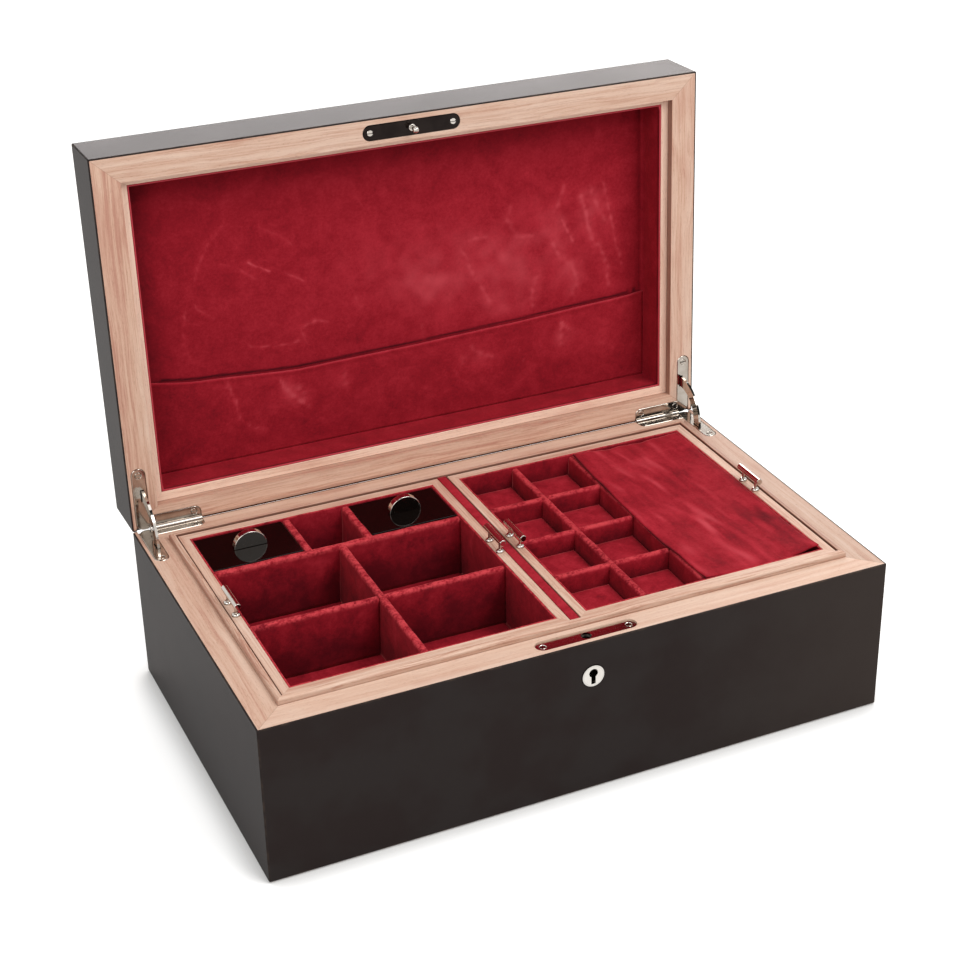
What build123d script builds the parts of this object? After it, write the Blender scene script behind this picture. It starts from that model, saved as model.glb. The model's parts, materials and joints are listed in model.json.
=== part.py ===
from build123d import *
import os
from math import asin, cos, degrees, radians, sin

# Cufflink display box, standing open. Millimetres. The origin is the middle of the base's footprint on the
# face it stands on. +X runs along the front to the right, +Y from the front to the hinges, +Z up.

# ---- the case ----
box_length = 400.0
box_depth = 240.0
hinge_height = 102.0        # standing face to the hinge line
lid_height = 38.0           # hinge line to the lid's top face
open_angle = 92.0
rim_gap = 0.2               # left between the two rims when the lid is down
veneer = 1.0                # lacquered skin
corner_radius = 0.9
arris = 0.4
baize = 1.0
baize_inset = 3.0
wall = 18.0                 # base wall with its veneer
bottom_thickness = 8.0
floor_suede = 1.2
liner = 3.5                 # cedar boards inside the base walls
lip_height = 4.0            # how far they stand above the rim
lip_round = 1.8

# ---- the lid ----
lid_side_wall = 17.6        # with veneer, at the rim
lid_front_wall = 16.5
lid_back_wall = 14.6
lid_recess = 6.0            # from the rim to the set-back liner, which clears the lip
lid_side_liner = 4.8
lid_front_liner = 3.8
lid_back_liner = 5.6
lid_top_thickness = 5.0
lid_pad = 1.5
lid_suede = 0.8
pocket_thickness = 1.2
pocket_stand_off = 2.4      # from the lining's face
pocket_depth = 61.0         # from the hinge side to the pocket's open edge
pocket_gap = 0.3

# ---- trays ----
tray_wall = 6.0
tray_side_gap = 0.6         # tray to liner, at its ends
tray_front_gap = 0.3        # tray to liner at the front and the back
tray_back_gap = 1.1
tray_rise = 3.2             # tray top above the rim
tray_arris = 0.5
tray_bottom = 3.0
left_tray_height = 45.0
right_tray_height = 22.7
tray_suede = 1.3
suede_drop = 0.2            # lining's edge below the wood
partition = 5.8
partition_gap = 0.4
partition_drop = 0.6        # below the trays' tops
bearer_width = 6.0
bearer_height = 8.0
divider = 4.8
divider_drop = 1.6          # below the tray's top
divider_round = 2.0
lidded_cell = 57.8          # length of each compartment under a small lid
back_row = 41.9
middle_row = 62.8
cell_length = 36.5          # cufflink cells
cell_rows = 4
pad_thickness = 5.0
pad_gap = 0.4
pad_round = 1.5

# ---- small lids and their pulls ----
small_lid = 4.0
small_lid_gap = 0.4
small_lid_drop = 1.1
ledge_width = 3.0
ledge_height = 8.0
pull_radius = 10.5
pull_thickness = 4.8
pull_edge = 0.4
pull_foot = 0.35            # bevel where a pull meets its lid
pull_aside = 1.3            # pull's middle to the right of the lid's middle

# ---- suede cover of the wide section ----
cover_thickness = 1.8
cover_lift = 0.3
cover_overlap = 2.4         # onto the divider beside it
cover_gap = 0.4

# ---- T-bar grips ----
grip_length = 24.8
grip_radius = 2.1
grip_height = 8.1           # bar's axis above the tray
grip_posts = 15.2           # between post axes
grip_post_radius = 0.9
grip_spigot = 9.0
rosette_radius = 2.6
rosette_height = 2.0
grip_inset = 3.5            # bar's axis from the tray's outer face
grip_clearance = 0.05
grip_end_round = 0.4
grip_hole_spare = 0.2       # grip's hole past the foot of its post
rosette_round = 0.8         # of its height

# ---- quadrant hinges ----
leaf_thickness = 1.6
leaf_width = 8.8
leaf_inset = 3.1            # outer edge of the side leg from the box's end
leaf_side_leg = 42.0        # hinge line to the tip of the side leg
leaf_back_leg = 41.4        # outer edge to the tip of the back leg
leaf_corner = 5.0
leaf_tip_round = 4.0        # the back leg's inner corner
leaf_seat = 0.3             # play round the leaf in its recess
leaf_bevel = 0.35
leaf_relief = 0.6           # leaf's back edge from the hinge line, between the knuckles
leaf_bridge = 0.4           # how far a knuckle's root reaches into its leaf
knuckle_radius = 2.2
knuckle_length = 11.1
knuckle_count = 3
knuckle_play = 0.15         # between knuckles, end to end
knuckle_clearance = 0.35    # round the knuckles
pin_radius = 1.0
pin_clearance = 0.04
stay_inner = 20.0
stay_outer = 27.0
stay_thickness = 1.6
stay_head = 1.4             # how far the stay's heads stand out past its sides
stay_head_angle = 6.0
stay_play = 0.5             # round the stay in the leaf's slot
stay_mortise_play = 0.6
stay_offset = 1.4           # stay from the middle of the side leg, towards the box's middle
mortise_spare = 1.5         # degrees the mortise runs on past the stay
mortise_rise = 0.5          # degrees it starts above the hinge line
groove_play = 0.3           # knuckles' groove past their ends
screw_head_radius = 2.2
screw_head_depth = 1.2
screw_shank_radius = 1.1
screw_length = 11.0
screw_play = 0.05
screw_slot = 0.8
screw_slot_depth = 0.7
screw_bevel = 0.4           # round the head's face, at 45 degrees
leaf_side_screw = 4.4       # from the tip of the side leg
leaf_back_screws = [4.4, 31.0]   # from the tip of the back leg
leaf_back_screw_line = 5.4  # from the hinge line

# ---- lock ----
plate_length = 64.4
plate_width = 9.8
plate_thickness = 1.5
plate_play = 0.3            # its recess is this much larger
plate_screws = 55.0
lock_line = 9.0             # plate's middle from the base wall's inner face
lock_plate_drop = 0.8
strike_proud = 0.15
plate_bevel = 0.35
stud_hole_radius = 3.2
case_length = 44.0
case_width = 9.4
case_depth = 30.0
case_wall = 1.0
case_play = 0.1
bolt_thickness = 1.2
bolt_width = 6.9
bolt_length = 30.0
bolt_play = 0.25
bolt_travel = 6.0
bolt_web = 1.2
bolt_web_length = 20.0
bolt_web_depth = 20.0
bolt_eye_radius = 2.5
stud_neck_radius = 1.3
stud_head_radius = 2.1
stud_collar_radius = 2.3
stud_collar = 1.0
stud_collar_round = 0.4
stud_play = 0.05            # round the stud in its plate
stud_head_centre = 6.2      # below the lid's rim
stud_spigot = 5.0
stud_hole_spare = 0.1
key_height = 79.3
escutcheon_radius = 7.15
escutcheon_proud = 0.6
escutcheon_thickness = 2.2
escutcheon_round = 0.35
keyhole_radius = 2.8
keyhole_rise = 1.9          # round part above the escutcheon's middle
keyhole_width = 2.8
keyhole_drop = 5.3          # its foot below the middle
key_channel_radius = 5.2

# ---- places worked out from the sizes above ----
half_x = box_length / 2
half_y = box_depth / 2
base_rim = hinge_height - rim_gap / 2
lid_rim = hinge_height + rim_gap / 2
lid_top = hinge_height + lid_height
inside_x = half_x - wall
inside_y = half_y - wall
lined_x = inside_x - liner
lined_y = inside_y - liner
floor_top = baize + bottom_thickness
tray_top = base_rim + tray_rise
lid_under = lid_top - veneer - lid_top_thickness
axis = Axis((0, half_y, hinge_height), (1, 0, 0))
joint_gap = 0.02            # keeps curved faces that meet from cutting into each other
over = 1.0                  # how far a cutting tool reaches past what it cuts

nodes = {}


# Box between two corners.
def block(x0, x1, y0, y1, z0, z1):
    return Pos((x0 + x1) / 2, (y0 + y1) / 2, (z0 + z1) / 2) * Box(x1 - x0, y1 - y0, z1 - z0)


def rod(radius, x, y, z0, z1):
    return Pos(x, y, (z0 + z1) / 2) * Cylinder(radius, z1 - z0)


def rod_x(radius, x0, x1, y, z):
    return Pos((x0 + x1) / 2, y, z) * Rot(0, 90, 0) * Cylinder(radius, x1 - x0)


def rod_y(radius, x, y0, y1, z):
    return Pos(x, (y0 + y1) / 2, z) * Rot(90, 0, 0) * Cylinder(radius, y1 - y0)


def cut(part, tools):
    for tool in tools:
        part = part - tool
    return part


# Rounds the edges that lie on all of the given planes, such as y=0, z=5.
def round_edges(part, radius, **where):
    def on(edge):
        box = edge.bounding_box()
        low, high = tuple(box.min), tuple(box.max)
        return all(abs(low["xyz".index(k)] - v) < 1e-4 and abs(high["xyz".index(k)] - v) < 1e-4
                   for k, v in where.items())
    return fillet(part.edges().filter_by(on), radius)


# Four wedge-shaped footprints between an outer and an inner rectangle, mitred at the corners.
def mitres(outer, inner):
    (ox0, ox1, oy0, oy1), (ix0, ix1, iy0, iy1) = outer, inner
    return {
        "front": [(ox0, oy0), (ox1, oy0), (ix1, iy0), (ix0, iy0)],
        "back": [(ix0, iy1), (ix1, iy1), (ox1, oy1), (ox0, oy1)],
        "left": [(ox0, oy0), (ix0, iy0), (ix0, iy1), (ox0, oy1)],
        "right": [(ix1, iy0), (ox1, oy0), (ox1, oy1), (ix1, iy1)],
    }


# The plane of each side of a rectangle, as round_edges takes it.
def side_planes(area):
    x0, x1, y0, y1 = area
    return {"front": ("y", y0), "back": ("y", y1), "left": ("x", x0), "right": ("x", x1)}


def mitred_boards(outer, inner, z0, z1):
    boards = {}
    for side, points in mitres(outer, inner).items():
        boards[side] = extrude(Pos(0, 0, z0) * Polygon(*points, align=None), z1 - z0, dir=(0, 0, 1))
    return boards


# Stadium-shaped plate, long way along X, seen from above.
def stadium(length, width, x, y, z0, z1):
    return extrude(Pos(x, y, z0) * SlotOverall(length, width), z1 - z0, dir=(0, 0, 1))


# Ring sector about the hinge line. Angles in degrees, 0 towards the front, 90 straight up.
def sector(inner_radius, outer_radius, start, end, x0, x1):
    size = end - start
    arcs = [CenterArc((0, 0), radius, start, size) for radius in (inner_radius, outer_radius)]
    sides = [Line(arcs[0] @ k, arcs[1] @ k) for k in (0, 1)]
    plane = Plane(origin=(x1, half_y, hinge_height), x_dir=(0, -1, 0), z_dir=(-1, 0, 0))
    return extrude(plane * make_face(arcs + sides), x1 - x0, dir=(-1, 0, 0))


# Countersunk slotted screw with its head's face at z and its point downwards.
def screw(x, y, z, length=screw_length, grow=0.0, slotted=True):
    top, foot = screw_head_radius + grow, screw_shank_radius + grow
    under = z - screw_head_depth
    head = Pos(x, y, z - screw_head_depth / 2) * Cone(foot, top, screw_head_depth)
    body = head + rod(foot, x, y, z - length - grow, under)
    if slotted:
        narrow = top - screw_bevel
        body = body & Pos(x, y, z - length / 2) * Cone(narrow + length, narrow, length)
        half = screw_slot / 2
        body = body - block(x - top, x + top, y - half, y + half, z - screw_slot_depth, z + over)
    return body


# Turns a piece of the lid from shut, as it is drawn, to open.
def open_lid(piece):
    return piece.rotate(axis, -open_angle)


# The lid's hinge leaf is the base's turned upside down about the hinge line.
def flip(piece):
    return mirror(piece, about=Plane.XY.offset(hinge_height))


def keep(name, *pieces):
    solids = [solid for piece in pieces for solid in piece.solids()]
    nodes[name] = Compound(children=solids)


def keep_open(name, *pieces):
    keep(name, *[open_lid(piece) for piece in pieces])


# ---- hinges: pieces and the room they need, for the base and one end of the box (-1 left, 1 right) ----
leaf_end = half_x - leaf_inset
leaf_tip = leaf_end - leaf_back_leg
leaf_mid = leaf_end - leaf_width / 2
stay_x = leaf_mid - stay_offset
stay_half = stay_thickness / 2
leaf_under = base_rim - leaf_thickness
knuckle_start = leaf_tip
head_start = degrees(asin((hinge_height - leaf_under + stay_play) / (stay_inner - stay_head)))
stay_end = head_start + stay_head_angle
mortise_end = stay_end + open_angle / 2 + mortise_spare


def leaf_screw_places(end):
    yield end * leaf_mid, half_y - leaf_side_leg + leaf_side_screw
    for place in leaf_back_screws:
        yield end * (leaf_tip + place), half_y - leaf_back_screw_line


def leaf_screw_holes(end):
    return [screw(x, y, base_rim, grow=screw_play, slotted=False) for x, y in leaf_screw_places(end)]


def leaf_outline(end, grow):
    tip_radius = leaf_width / 2
    back = half_y
    x_low, x_high = leaf_end - leaf_width - grow, leaf_end + grow
    y_low = back - leaf_width - grow
    side = Pos((x_low + x_high) / 2, (back + back - leaf_side_leg + tip_radius) / 2)
    side = side * Rectangle(x_high - x_low, leaf_side_leg - tip_radius)
    side = side + Pos((x_low + x_high) / 2, back - leaf_side_leg + tip_radius) * Circle(tip_radius + grow)
    leg = Pos((leaf_tip - grow + x_high) / 2, (y_low + back) / 2)
    leg = leg * Rectangle(x_high - leaf_tip + grow, back - y_low)
    outline = side + leg
    corner = outline.vertices().sort_by(lambda v: v.X + v.Y)[-1]
    outline = fillet([corner], leaf_corner)
    inner = [v for v in outline.vertices() if v.X < leaf_tip + over and v.Y < back - over]
    outline = fillet(inner, leaf_tip_round + grow)
    return outline if end > 0 else mirror(outline, about=Plane.YZ)


def knuckle_span(index):
    start = knuckle_start + index * knuckle_length
    return start + knuckle_play / 2, start + knuckle_length - knuckle_play / 2


def across(end, a, b):
    return (a, b) if end > 0 else (-b, -a)


# Leaf in the base's position. own says which knuckles belong to it.
def leaf(end, own):
    plate = extrude(Pos(0, 0, leaf_under) * leaf_outline(end, 0.0), leaf_thickness, dir=(0, 0, 1))
    plate = chamfer(plate.faces().sort_by(Axis.Z)[-1].edges(), leaf_bevel)
    clear = knuckle_radius + knuckle_clearance
    low, high = knuckle_start, knuckle_start + knuckle_count * knuckle_length
    x0, x1 = across(end, low - leaf_seat, high + leaf_seat)
    plate = plate - rod_x(clear, x0, x1, half_y, hinge_height)
    x0, x1 = across(end, leaf_tip - over, high + leaf_seat)
    plate = plate - block(x0, x1, half_y - leaf_relief, half_y + over, leaf_under - over, base_rim + over)
    for index in range(knuckle_count):
        if index not in own:
            continue
        x0, x1 = across(end, *knuckle_span(index))
        bridge = block(x0, x1, half_y - clear - leaf_bridge, half_y, leaf_under, base_rim)
        plate = plate + bridge + rod_x(knuckle_radius, x0, x1, half_y, hinge_height)
    x0, x1 = across(end, low - over, high + over)
    plate = plate - rod_x(pin_radius + pin_clearance, x0, x1, half_y, hinge_height)
    x0, x1 = across(end, stay_x - stay_half - stay_play, stay_x + stay_half + stay_play)
    near, far = half_y - stay_outer - stay_play, half_y - stay_inner + stay_play
    plate = plate - block(x0, x1, near, far, leaf_under - over, base_rim + over)
    return cut(plate, leaf_screw_holes(end))


# What the hinge takes out of the wood and the veneer round it.
def hinge_room(end):
    outline = leaf_outline(end, leaf_seat)
    seat = extrude(Pos(0, 0, leaf_under) * outline, leaf_thickness + over, dir=(0, 0, 1))
    x0, x1 = across(end, leaf_tip - leaf_seat, leaf_end + leaf_seat)
    square = half_y - leaf_width + leaf_tip_round
    seat = seat + block(x0, x1, square, half_y + over, leaf_under, hinge_height + over)
    clear = knuckle_radius + knuckle_clearance
    knuckles_end = knuckle_start + knuckle_count * knuckle_length
    x0, x1 = across(end, knuckle_start - groove_play, knuckles_end + groove_play)
    groove = rod_x(clear, x0, x1, half_y, hinge_height)
    half = stay_half + stay_mortise_play
    x0, x1 = across(end, stay_x - half, stay_x + half)
    inner = stay_inner - stay_head - stay_mortise_play
    outer = stay_outer + stay_head + stay_mortise_play
    mortise = sector(inner, outer, -mortise_end, mortise_rise, x0, x1)
    return [seat, groove, mortise] + leaf_screw_holes(end)


def stay(end):
    x0, x1 = across(end, stay_x - stay_half, stay_x + stay_half)
    body = sector(stay_inner, stay_outer, -stay_end, open_angle + stay_end, x0, x1)
    inner, outer = stay_inner - stay_head, stay_outer + stay_head
    for start in (-stay_end, open_angle + head_start):
        body = body + sector(inner, outer, start, start + stay_head_angle, x0, x1)
    return body


def hinge_pin(end):
    x0, x1 = across(end, knuckle_start, knuckle_start + knuckle_count * knuckle_length)
    return rod_x(pin_radius, x0, x1, half_y, hinge_height)


# ---- lock: pieces and the room they need in the front rail ----
lock_y = -(inside_y + lock_line)
lock_top = base_rim - lock_plate_drop
lock_under = lock_top - plate_thickness
bolt_top = lock_under - bolt_play
case_low = lock_under - case_depth


def keyhole(y0, y1, grow=0.0):
    bow = rod_y(keyhole_radius + grow, 0, y0, y1, key_height + keyhole_rise)
    half = keyhole_width / 2 + grow
    slot = block(-half, half, y0, y1, key_height - keyhole_drop - grow, key_height + keyhole_rise)
    return bow + slot


def plate_screw_holes():
    places = (-plate_screws / 2, plate_screws / 2)
    return [screw(x, lock_y, lock_top, grow=screw_play, slotted=False) for x in places]


def lock_room():
    half_width = case_width / 2 + case_play
    length, width = plate_length + plate_play, plate_width + plate_play
    recess = stadium(length, width, 0, lock_y, lock_under, hinge_height + over)
    half = case_length / 2 + case_play
    y0, y1 = lock_y - half_width, lock_y + half_width
    pocket = block(-half, half, y0, y1, case_low - case_play, hinge_height)
    seat_back = -half_y + escutcheon_thickness - escutcheon_proud
    seat = rod_y(escutcheon_radius + case_play, 0, -half_y - 1, seat_back, key_height)
    channel = rod_y(key_channel_radius, 0, -half_y - 1, lock_y, key_height)
    return [recess, pocket, seat, channel] + plate_screw_holes()


def lock_case():
    low, high = lock_y - case_width / 2, lock_y + case_width / 2
    half = case_length / 2
    case = block(-half, half, low, high, case_low, lock_under)
    hollow = block(-half + case_wall, half - case_wall, low + case_wall, high - case_wall,
                   case_low + case_wall, lock_under + 1)
    return case - hollow - keyhole(low - 1, lock_y)


def lock_plate():
    plate = stadium(plate_length, plate_width, 0, lock_y, lock_under, lock_top)
    plate = chamfer(plate.faces().sort_by(Axis.Z)[-1].edges(), plate_bevel)
    plate = plate - rod(stud_hole_radius, 0, lock_y, lock_under - over, lock_top + over)
    return cut(plate, plate_screw_holes())


# Sliding bolt: its wide eye lets the stud's head through, its narrow slot catches the head by the neck.
def lock_bolt():
    under = bolt_top - bolt_thickness
    half = bolt_length / 2
    plate = block(-half, half, lock_y - bolt_width / 2, lock_y + bolt_width / 2, under, bolt_top)
    plate = plate - rod(bolt_eye_radius, 0, lock_y, under - 1, bolt_top + 1)
    neck = stud_neck_radius + bolt_play
    plate = plate - block(-bolt_travel, 0, lock_y - neck, lock_y + neck, under - 1, bolt_top + 1)
    plate = plate - rod(neck, -bolt_travel, lock_y, under - 1, bolt_top + 1)
    back = lock_y + bolt_width / 2
    web_half = bolt_web_length / 2
    web = block(-web_half, web_half, back - bolt_web, back, under - bolt_web_depth, under)
    notch = rod_y(keyhole_radius, 0, back - 2 * bolt_web, back + 1, under - bolt_web_depth)
    return plate + (web - notch)


def escutcheon():
    front, back = -half_y - escutcheon_proud, -half_y + escutcheon_thickness - escutcheon_proud
    disc = rod_y(escutcheon_radius, 0, front, back, key_height)
    disc = round_edges(disc, escutcheon_round, y=front)
    return disc - keyhole(front - 1, back + 1)


# ---- the strike, drawn on the shut lid ----
strike_under = lid_rim - strike_proud
strike_top = strike_under + plate_thickness


def strike_screw_holes():
    holes = [screw(x, lock_y, strike_under, grow=screw_play, slotted=False)
             for x in (-plate_screws / 2, plate_screws / 2)]
    return [flip_at(hole, strike_under) for hole in holes]


def strike_room():
    length, width = plate_length + plate_play, plate_width + plate_play
    recess = stadium(length, width, 0, lock_y, hinge_height - over, strike_top)
    shank_top = strike_top + stud_spigot + stud_hole_spare
    shank = rod(stud_neck_radius + stud_play, 0, lock_y, strike_top - over, shank_top)
    return [recess, shank] + strike_screw_holes()


# Turns a screw drawn point down into one that is driven upwards from the same face.
def flip_at(piece, z):
    return mirror(piece, about=Plane.XY.offset(z))


def strike_plate():
    plate = stadium(plate_length, plate_width, 0, lock_y, strike_under, strike_top)
    plate = chamfer(plate.faces().sort_by(Axis.Z)[0].edges(), plate_bevel)
    plate = plate - rod(stud_neck_radius + stud_play, 0, lock_y, strike_under - over, strike_top + over)
    return cut(plate, strike_screw_holes())


def strike_stud():
    head = lid_rim - stud_head_centre
    shank = rod(stud_neck_radius, 0, lock_y, head, strike_top + stud_spigot)
    collar = rod(stud_collar_radius, 0, lock_y, strike_under - stud_collar, strike_under)
    collar = round_edges(collar, stud_collar_round, z=strike_under - stud_collar)
    return shank + collar + Pos(0, lock_y, head) * Sphere(stud_head_radius)


# ---- base ----
# A rim's outer edges without the one at the hinges, which stays sharp so that no light shows there.
def back_rim(low, high):
    # a rounding runs on round the corners, so this squares the rim's back edge again
    return block(-half_x + corner_radius, half_x - corner_radius, half_y - veneer, half_y, low, high)


def base_case():
    outer = (-half_x + veneer, half_x - veneer, -half_y + veneer, half_y - veneer)
    inner = (-inside_x, inside_x, -inside_y, inside_y)
    room = hinge_room(-1) + hinge_room(1)
    rails = mitred_boards(outer, inner, baize, base_rim)
    for side, rail in rails.items():
        tools = {"front": lock_room()}.get(side, room)
        keep("base_" + side + "_rail", cut(rail, tools))

    full = (-half_x, half_x, -half_y, half_y)
    shell = block(*full, baize, base_rim)
    shell = fillet(shell.edges().filter_by(Axis.Z), corner_radius)
    foot, rim = shell.faces().sort_by(Axis.Z)[0], shell.faces().sort_by(Axis.Z)[-1]
    shell = fillet(rim.edges() + foot.edges(), arris) + back_rim(base_rim - veneer, base_rim)
    shell = shell - block(*outer, baize - over, base_rim + over)
    panels = []
    for side, wedge in mitred_boards(full, outer, baize, base_rim).items():
        tools = {"front": lock_room(), "back": room}.get(side, [])
        panels.append(cut(shell & wedge, tools))
    keep("base_lacquered_panels", *panels)

    keep("base_bottom_panel", block(*inner, baize, floor_top))
    inset = baize_inset
    baize_area = (-half_x + inset, half_x - inset, -half_y + inset, half_y - inset)
    keep("base_baize", block(*baize_area, 0, baize))

    lined = (-lined_x, lined_x, -lined_y, lined_y)
    lip = base_rim + lip_height
    away, near = side_planes(inner), side_planes(lined)
    for side, board in mitred_boards(inner, lined, floor_top, lip).items():
        for places, radius in ((away, lip_round), (near, arris)):
            letter, place = places[side]
            board = round_edges(board, radius, **{letter: place, "z": lip})
        keep("base_liner_" + side, board)

    half = partition / 2
    keep("centre_partition", block(-half, half, -lined_y, lined_y, floor_top, tray_top - partition_drop))
    suede = [block(-lined_x, -half, -lined_y, lined_y, floor_top, floor_top + floor_suede),
             block(half, lined_x, -lined_y, lined_y, floor_top, floor_top + floor_suede)]
    keep("base_floor_suede", *suede)

    bearers = []
    for low, high, height in ((-lined_x, -half, left_tray_height), (half, lined_x, right_tray_height)):
        top = tray_top - height
        for y0, y1 in ((-lined_y, -lined_y + bearer_width), (lined_y - bearer_width, lined_y)):
            bearers.append(block(low, high, y0, y1, top - bearer_height, top))
    keep("tray_bearers", *bearers)


def base_fittings():
    own = [0, 2]
    for end, side in ((-1, "left"), (1, "right")):
        keep("hinge_base_leaf_" + side, leaf(end, own))
        keep("hinge_stay_" + side, stay(end))
    keep("hinge_pins", hinge_pin(-1), hinge_pin(1))
    places = [place for end in (-1, 1) for place in leaf_screw_places(end)]
    keep("hinge_base_screws", *[screw(x, y, base_rim) for x, y in places])
    keep("lock_case", lock_case())
    keep("lock_plate", lock_plate())
    keep("lock_plate_screws", *[screw(x, lock_y, lock_top) for x in (-plate_screws / 2, plate_screws / 2)])
    keep("lock_bolt", lock_bolt())
    keep("keyhole_escutcheon", escutcheon())


# ---- lid, drawn shut and then turned open ----
def lid_case():
    full = (-half_x, half_x, -half_y, half_y)
    outer = (-half_x + veneer, half_x - veneer, -half_y + veneer, half_y - veneer)
    room_x = half_x - lid_side_wall
    inner = (-room_x, room_x, -half_y + lid_front_wall, half_y - lid_back_wall)
    room = [flip(tool) for tool in hinge_room(-1) + hinge_room(1)]
    for side, rail in mitred_boards(outer, inner, lid_rim, lid_under).items():
        tools = {"front": strike_room()}.get(side, room)
        keep_open("lid_" + side + "_rail", cut(rail, tools))

    core_top = lid_top - veneer
    shell = block(*full, lid_rim, lid_top)
    shell = fillet(shell.edges().filter_by(Axis.Z), corner_radius)
    shell = fillet(shell.faces().sort_by(Axis.Z)[-1].edges(), corner_radius - 0.1)
    shell = fillet(shell.faces().sort_by(Axis.Z)[0].edges(), arris)
    shell = shell + back_rim(lid_rim, lid_rim + veneer)
    shell = shell - block(*outer, lid_rim - over, core_top)
    panels = [shell & block(*full, core_top, lid_top)]
    for side, wedge in mitred_boards(full, outer, lid_rim, core_top).items():
        tools = {"back": room}.get(side, [])
        panels.append(cut(shell & wedge, tools))
    keep_open("lid_lacquered_panels", *panels)
    keep_open("lid_top_panel", block(*outer, lid_under, core_top))

    x0, x1, y0, y1 = inner
    lined = (x0 + lid_side_liner, x1 - lid_side_liner, y0 + lid_front_liner, y1 - lid_back_liner)
    seat = lid_rim + lid_recess
    inner_edge = side_planes(lined)
    boards = []
    for side, board in mitred_boards(inner, lined, seat, lid_under).items():
        letter, place = inner_edge[side]
        boards.append(round_edges(board, arris, **{letter: place, "z": seat}))
    keep_open("lid_liner_boards", *boards)

    s = lid_suede
    faced = (lined[0] + s, lined[1] - s, lined[2] + s, lined[3] - s)
    walls = mitred_boards(lined, faced, seat + suede_drop, lid_under)
    keep_open("lid_lining", *walls.values(), block(*faced, lid_under - lid_pad, lid_under))
    x0, x1, y0, y1 = faced
    g = pocket_gap
    face = lid_under - lid_pad - pocket_stand_off
    keep_open("lid_pocket", block(x0 + g, x1 - g, y1 - pocket_depth, y1 - g, face - pocket_thickness, face))


def lid_fittings():
    own = [1]
    for end, side in ((-1, "left"), (1, "right")):
        keep_open("hinge_lid_leaf_" + side, flip(leaf(end, own)))
    places = [place for end in (-1, 1) for place in leaf_screw_places(end)]
    keep_open("hinge_lid_screws", *[flip(screw(x, y, base_rim)) for x, y in places])
    keep_open("strike_plate", strike_plate())
    keep_open("strike_stud", strike_stud())
    screws = [screw(x, lock_y, strike_under) for x in (-plate_screws / 2, plate_screws / 2)]
    keep_open("strike_screws", *[flip_at(piece, strike_under) for piece in screws])


# ---- trays ----
def grip(x, y):
    z = tray_top + grip_height
    bar = rod_y(grip_radius, x, y - grip_length / 2, y + grip_length / 2, z)
    bar = fillet(bar.edges().filter_by(GeomType.CIRCLE), grip_end_round)
    posts = []
    for place in (y - grip_posts / 2, y + grip_posts / 2):
        bar = bar - rod(grip_post_radius + joint_gap, x, place, z - grip_radius - over, z)
        post = rod(grip_post_radius, x, place, tray_top - grip_spigot, z - joint_gap)
        rosette = rod(rosette_radius, x, place, tray_top, tray_top + rosette_height)
        rosette = round_edges(rosette, rosette_height * rosette_round, z=tray_top + rosette_height)
        posts.append(post + rosette)
    return [bar] + posts


def grip_holes(x, y):
    low = tray_top - grip_spigot - grip_hole_spare
    return [rod(grip_post_radius + grip_clearance, x, place, low, tray_top + over)
            for place in (y - grip_posts / 2, y + grip_posts / 2)]


def rounded_divider(x0, x1, y0, y1, z0):
    top = tray_top - divider_drop
    board = block(x0, x1, y0, y1, z0, top)
    if x1 - x0 > y1 - y0:
        return round_edges(round_edges(board, divider_round, y=y0, z=top), divider_round, y=y1, z=top)
    return round_edges(round_edges(board, divider_round, x=x0, z=top), divider_round, x=x1, z=top)


# Frame, bottom, lining and grips of a tray between x0 and x1. Returns the lined inside.
def tray(name, x0, x1, height):
    y0, y1 = -lined_y + tray_front_gap, lined_y - tray_back_gap
    low = tray_top - height
    outer = (x0, x1, y0, y1)
    inner = (x0 + tray_wall, x1 - tray_wall, y0 + tray_wall, y1 - tray_wall)
    middle = (y0 + y1) / 2
    grips = {"left": (x0 + grip_inset, middle), "right": (x1 - grip_inset, middle)}
    outside, inside = side_planes(outer), side_planes(inner)
    boards = []
    for side, board in mitred_boards(outer, inner, low, tray_top).items():
        for edges in (outside, inside):
            letter, place = edges[side]
            board = round_edges(board, tray_arris, **{letter: place, "z": tray_top})
        if side in grips:
            board = cut(board, grip_holes(*grips[side]))
        boards.append(board)
    keep(name + "_frame", *boards)
    keep(name + "_bottom", block(*inner, low, low + tray_bottom))
    s = tray_suede
    lined = (inner[0] + s, inner[1] - s, inner[2] + s, inner[3] - s)
    floor = low + tray_bottom
    walls = mitred_boards(inner, lined, floor, tray_top - suede_drop)
    keep(name + "_lining", *walls.values(), block(*lined, floor, floor + s))
    for side, place in grips.items():
        keep(name + "_grip_" + side, *grip(*place))
    return lined, floor + s


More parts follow.
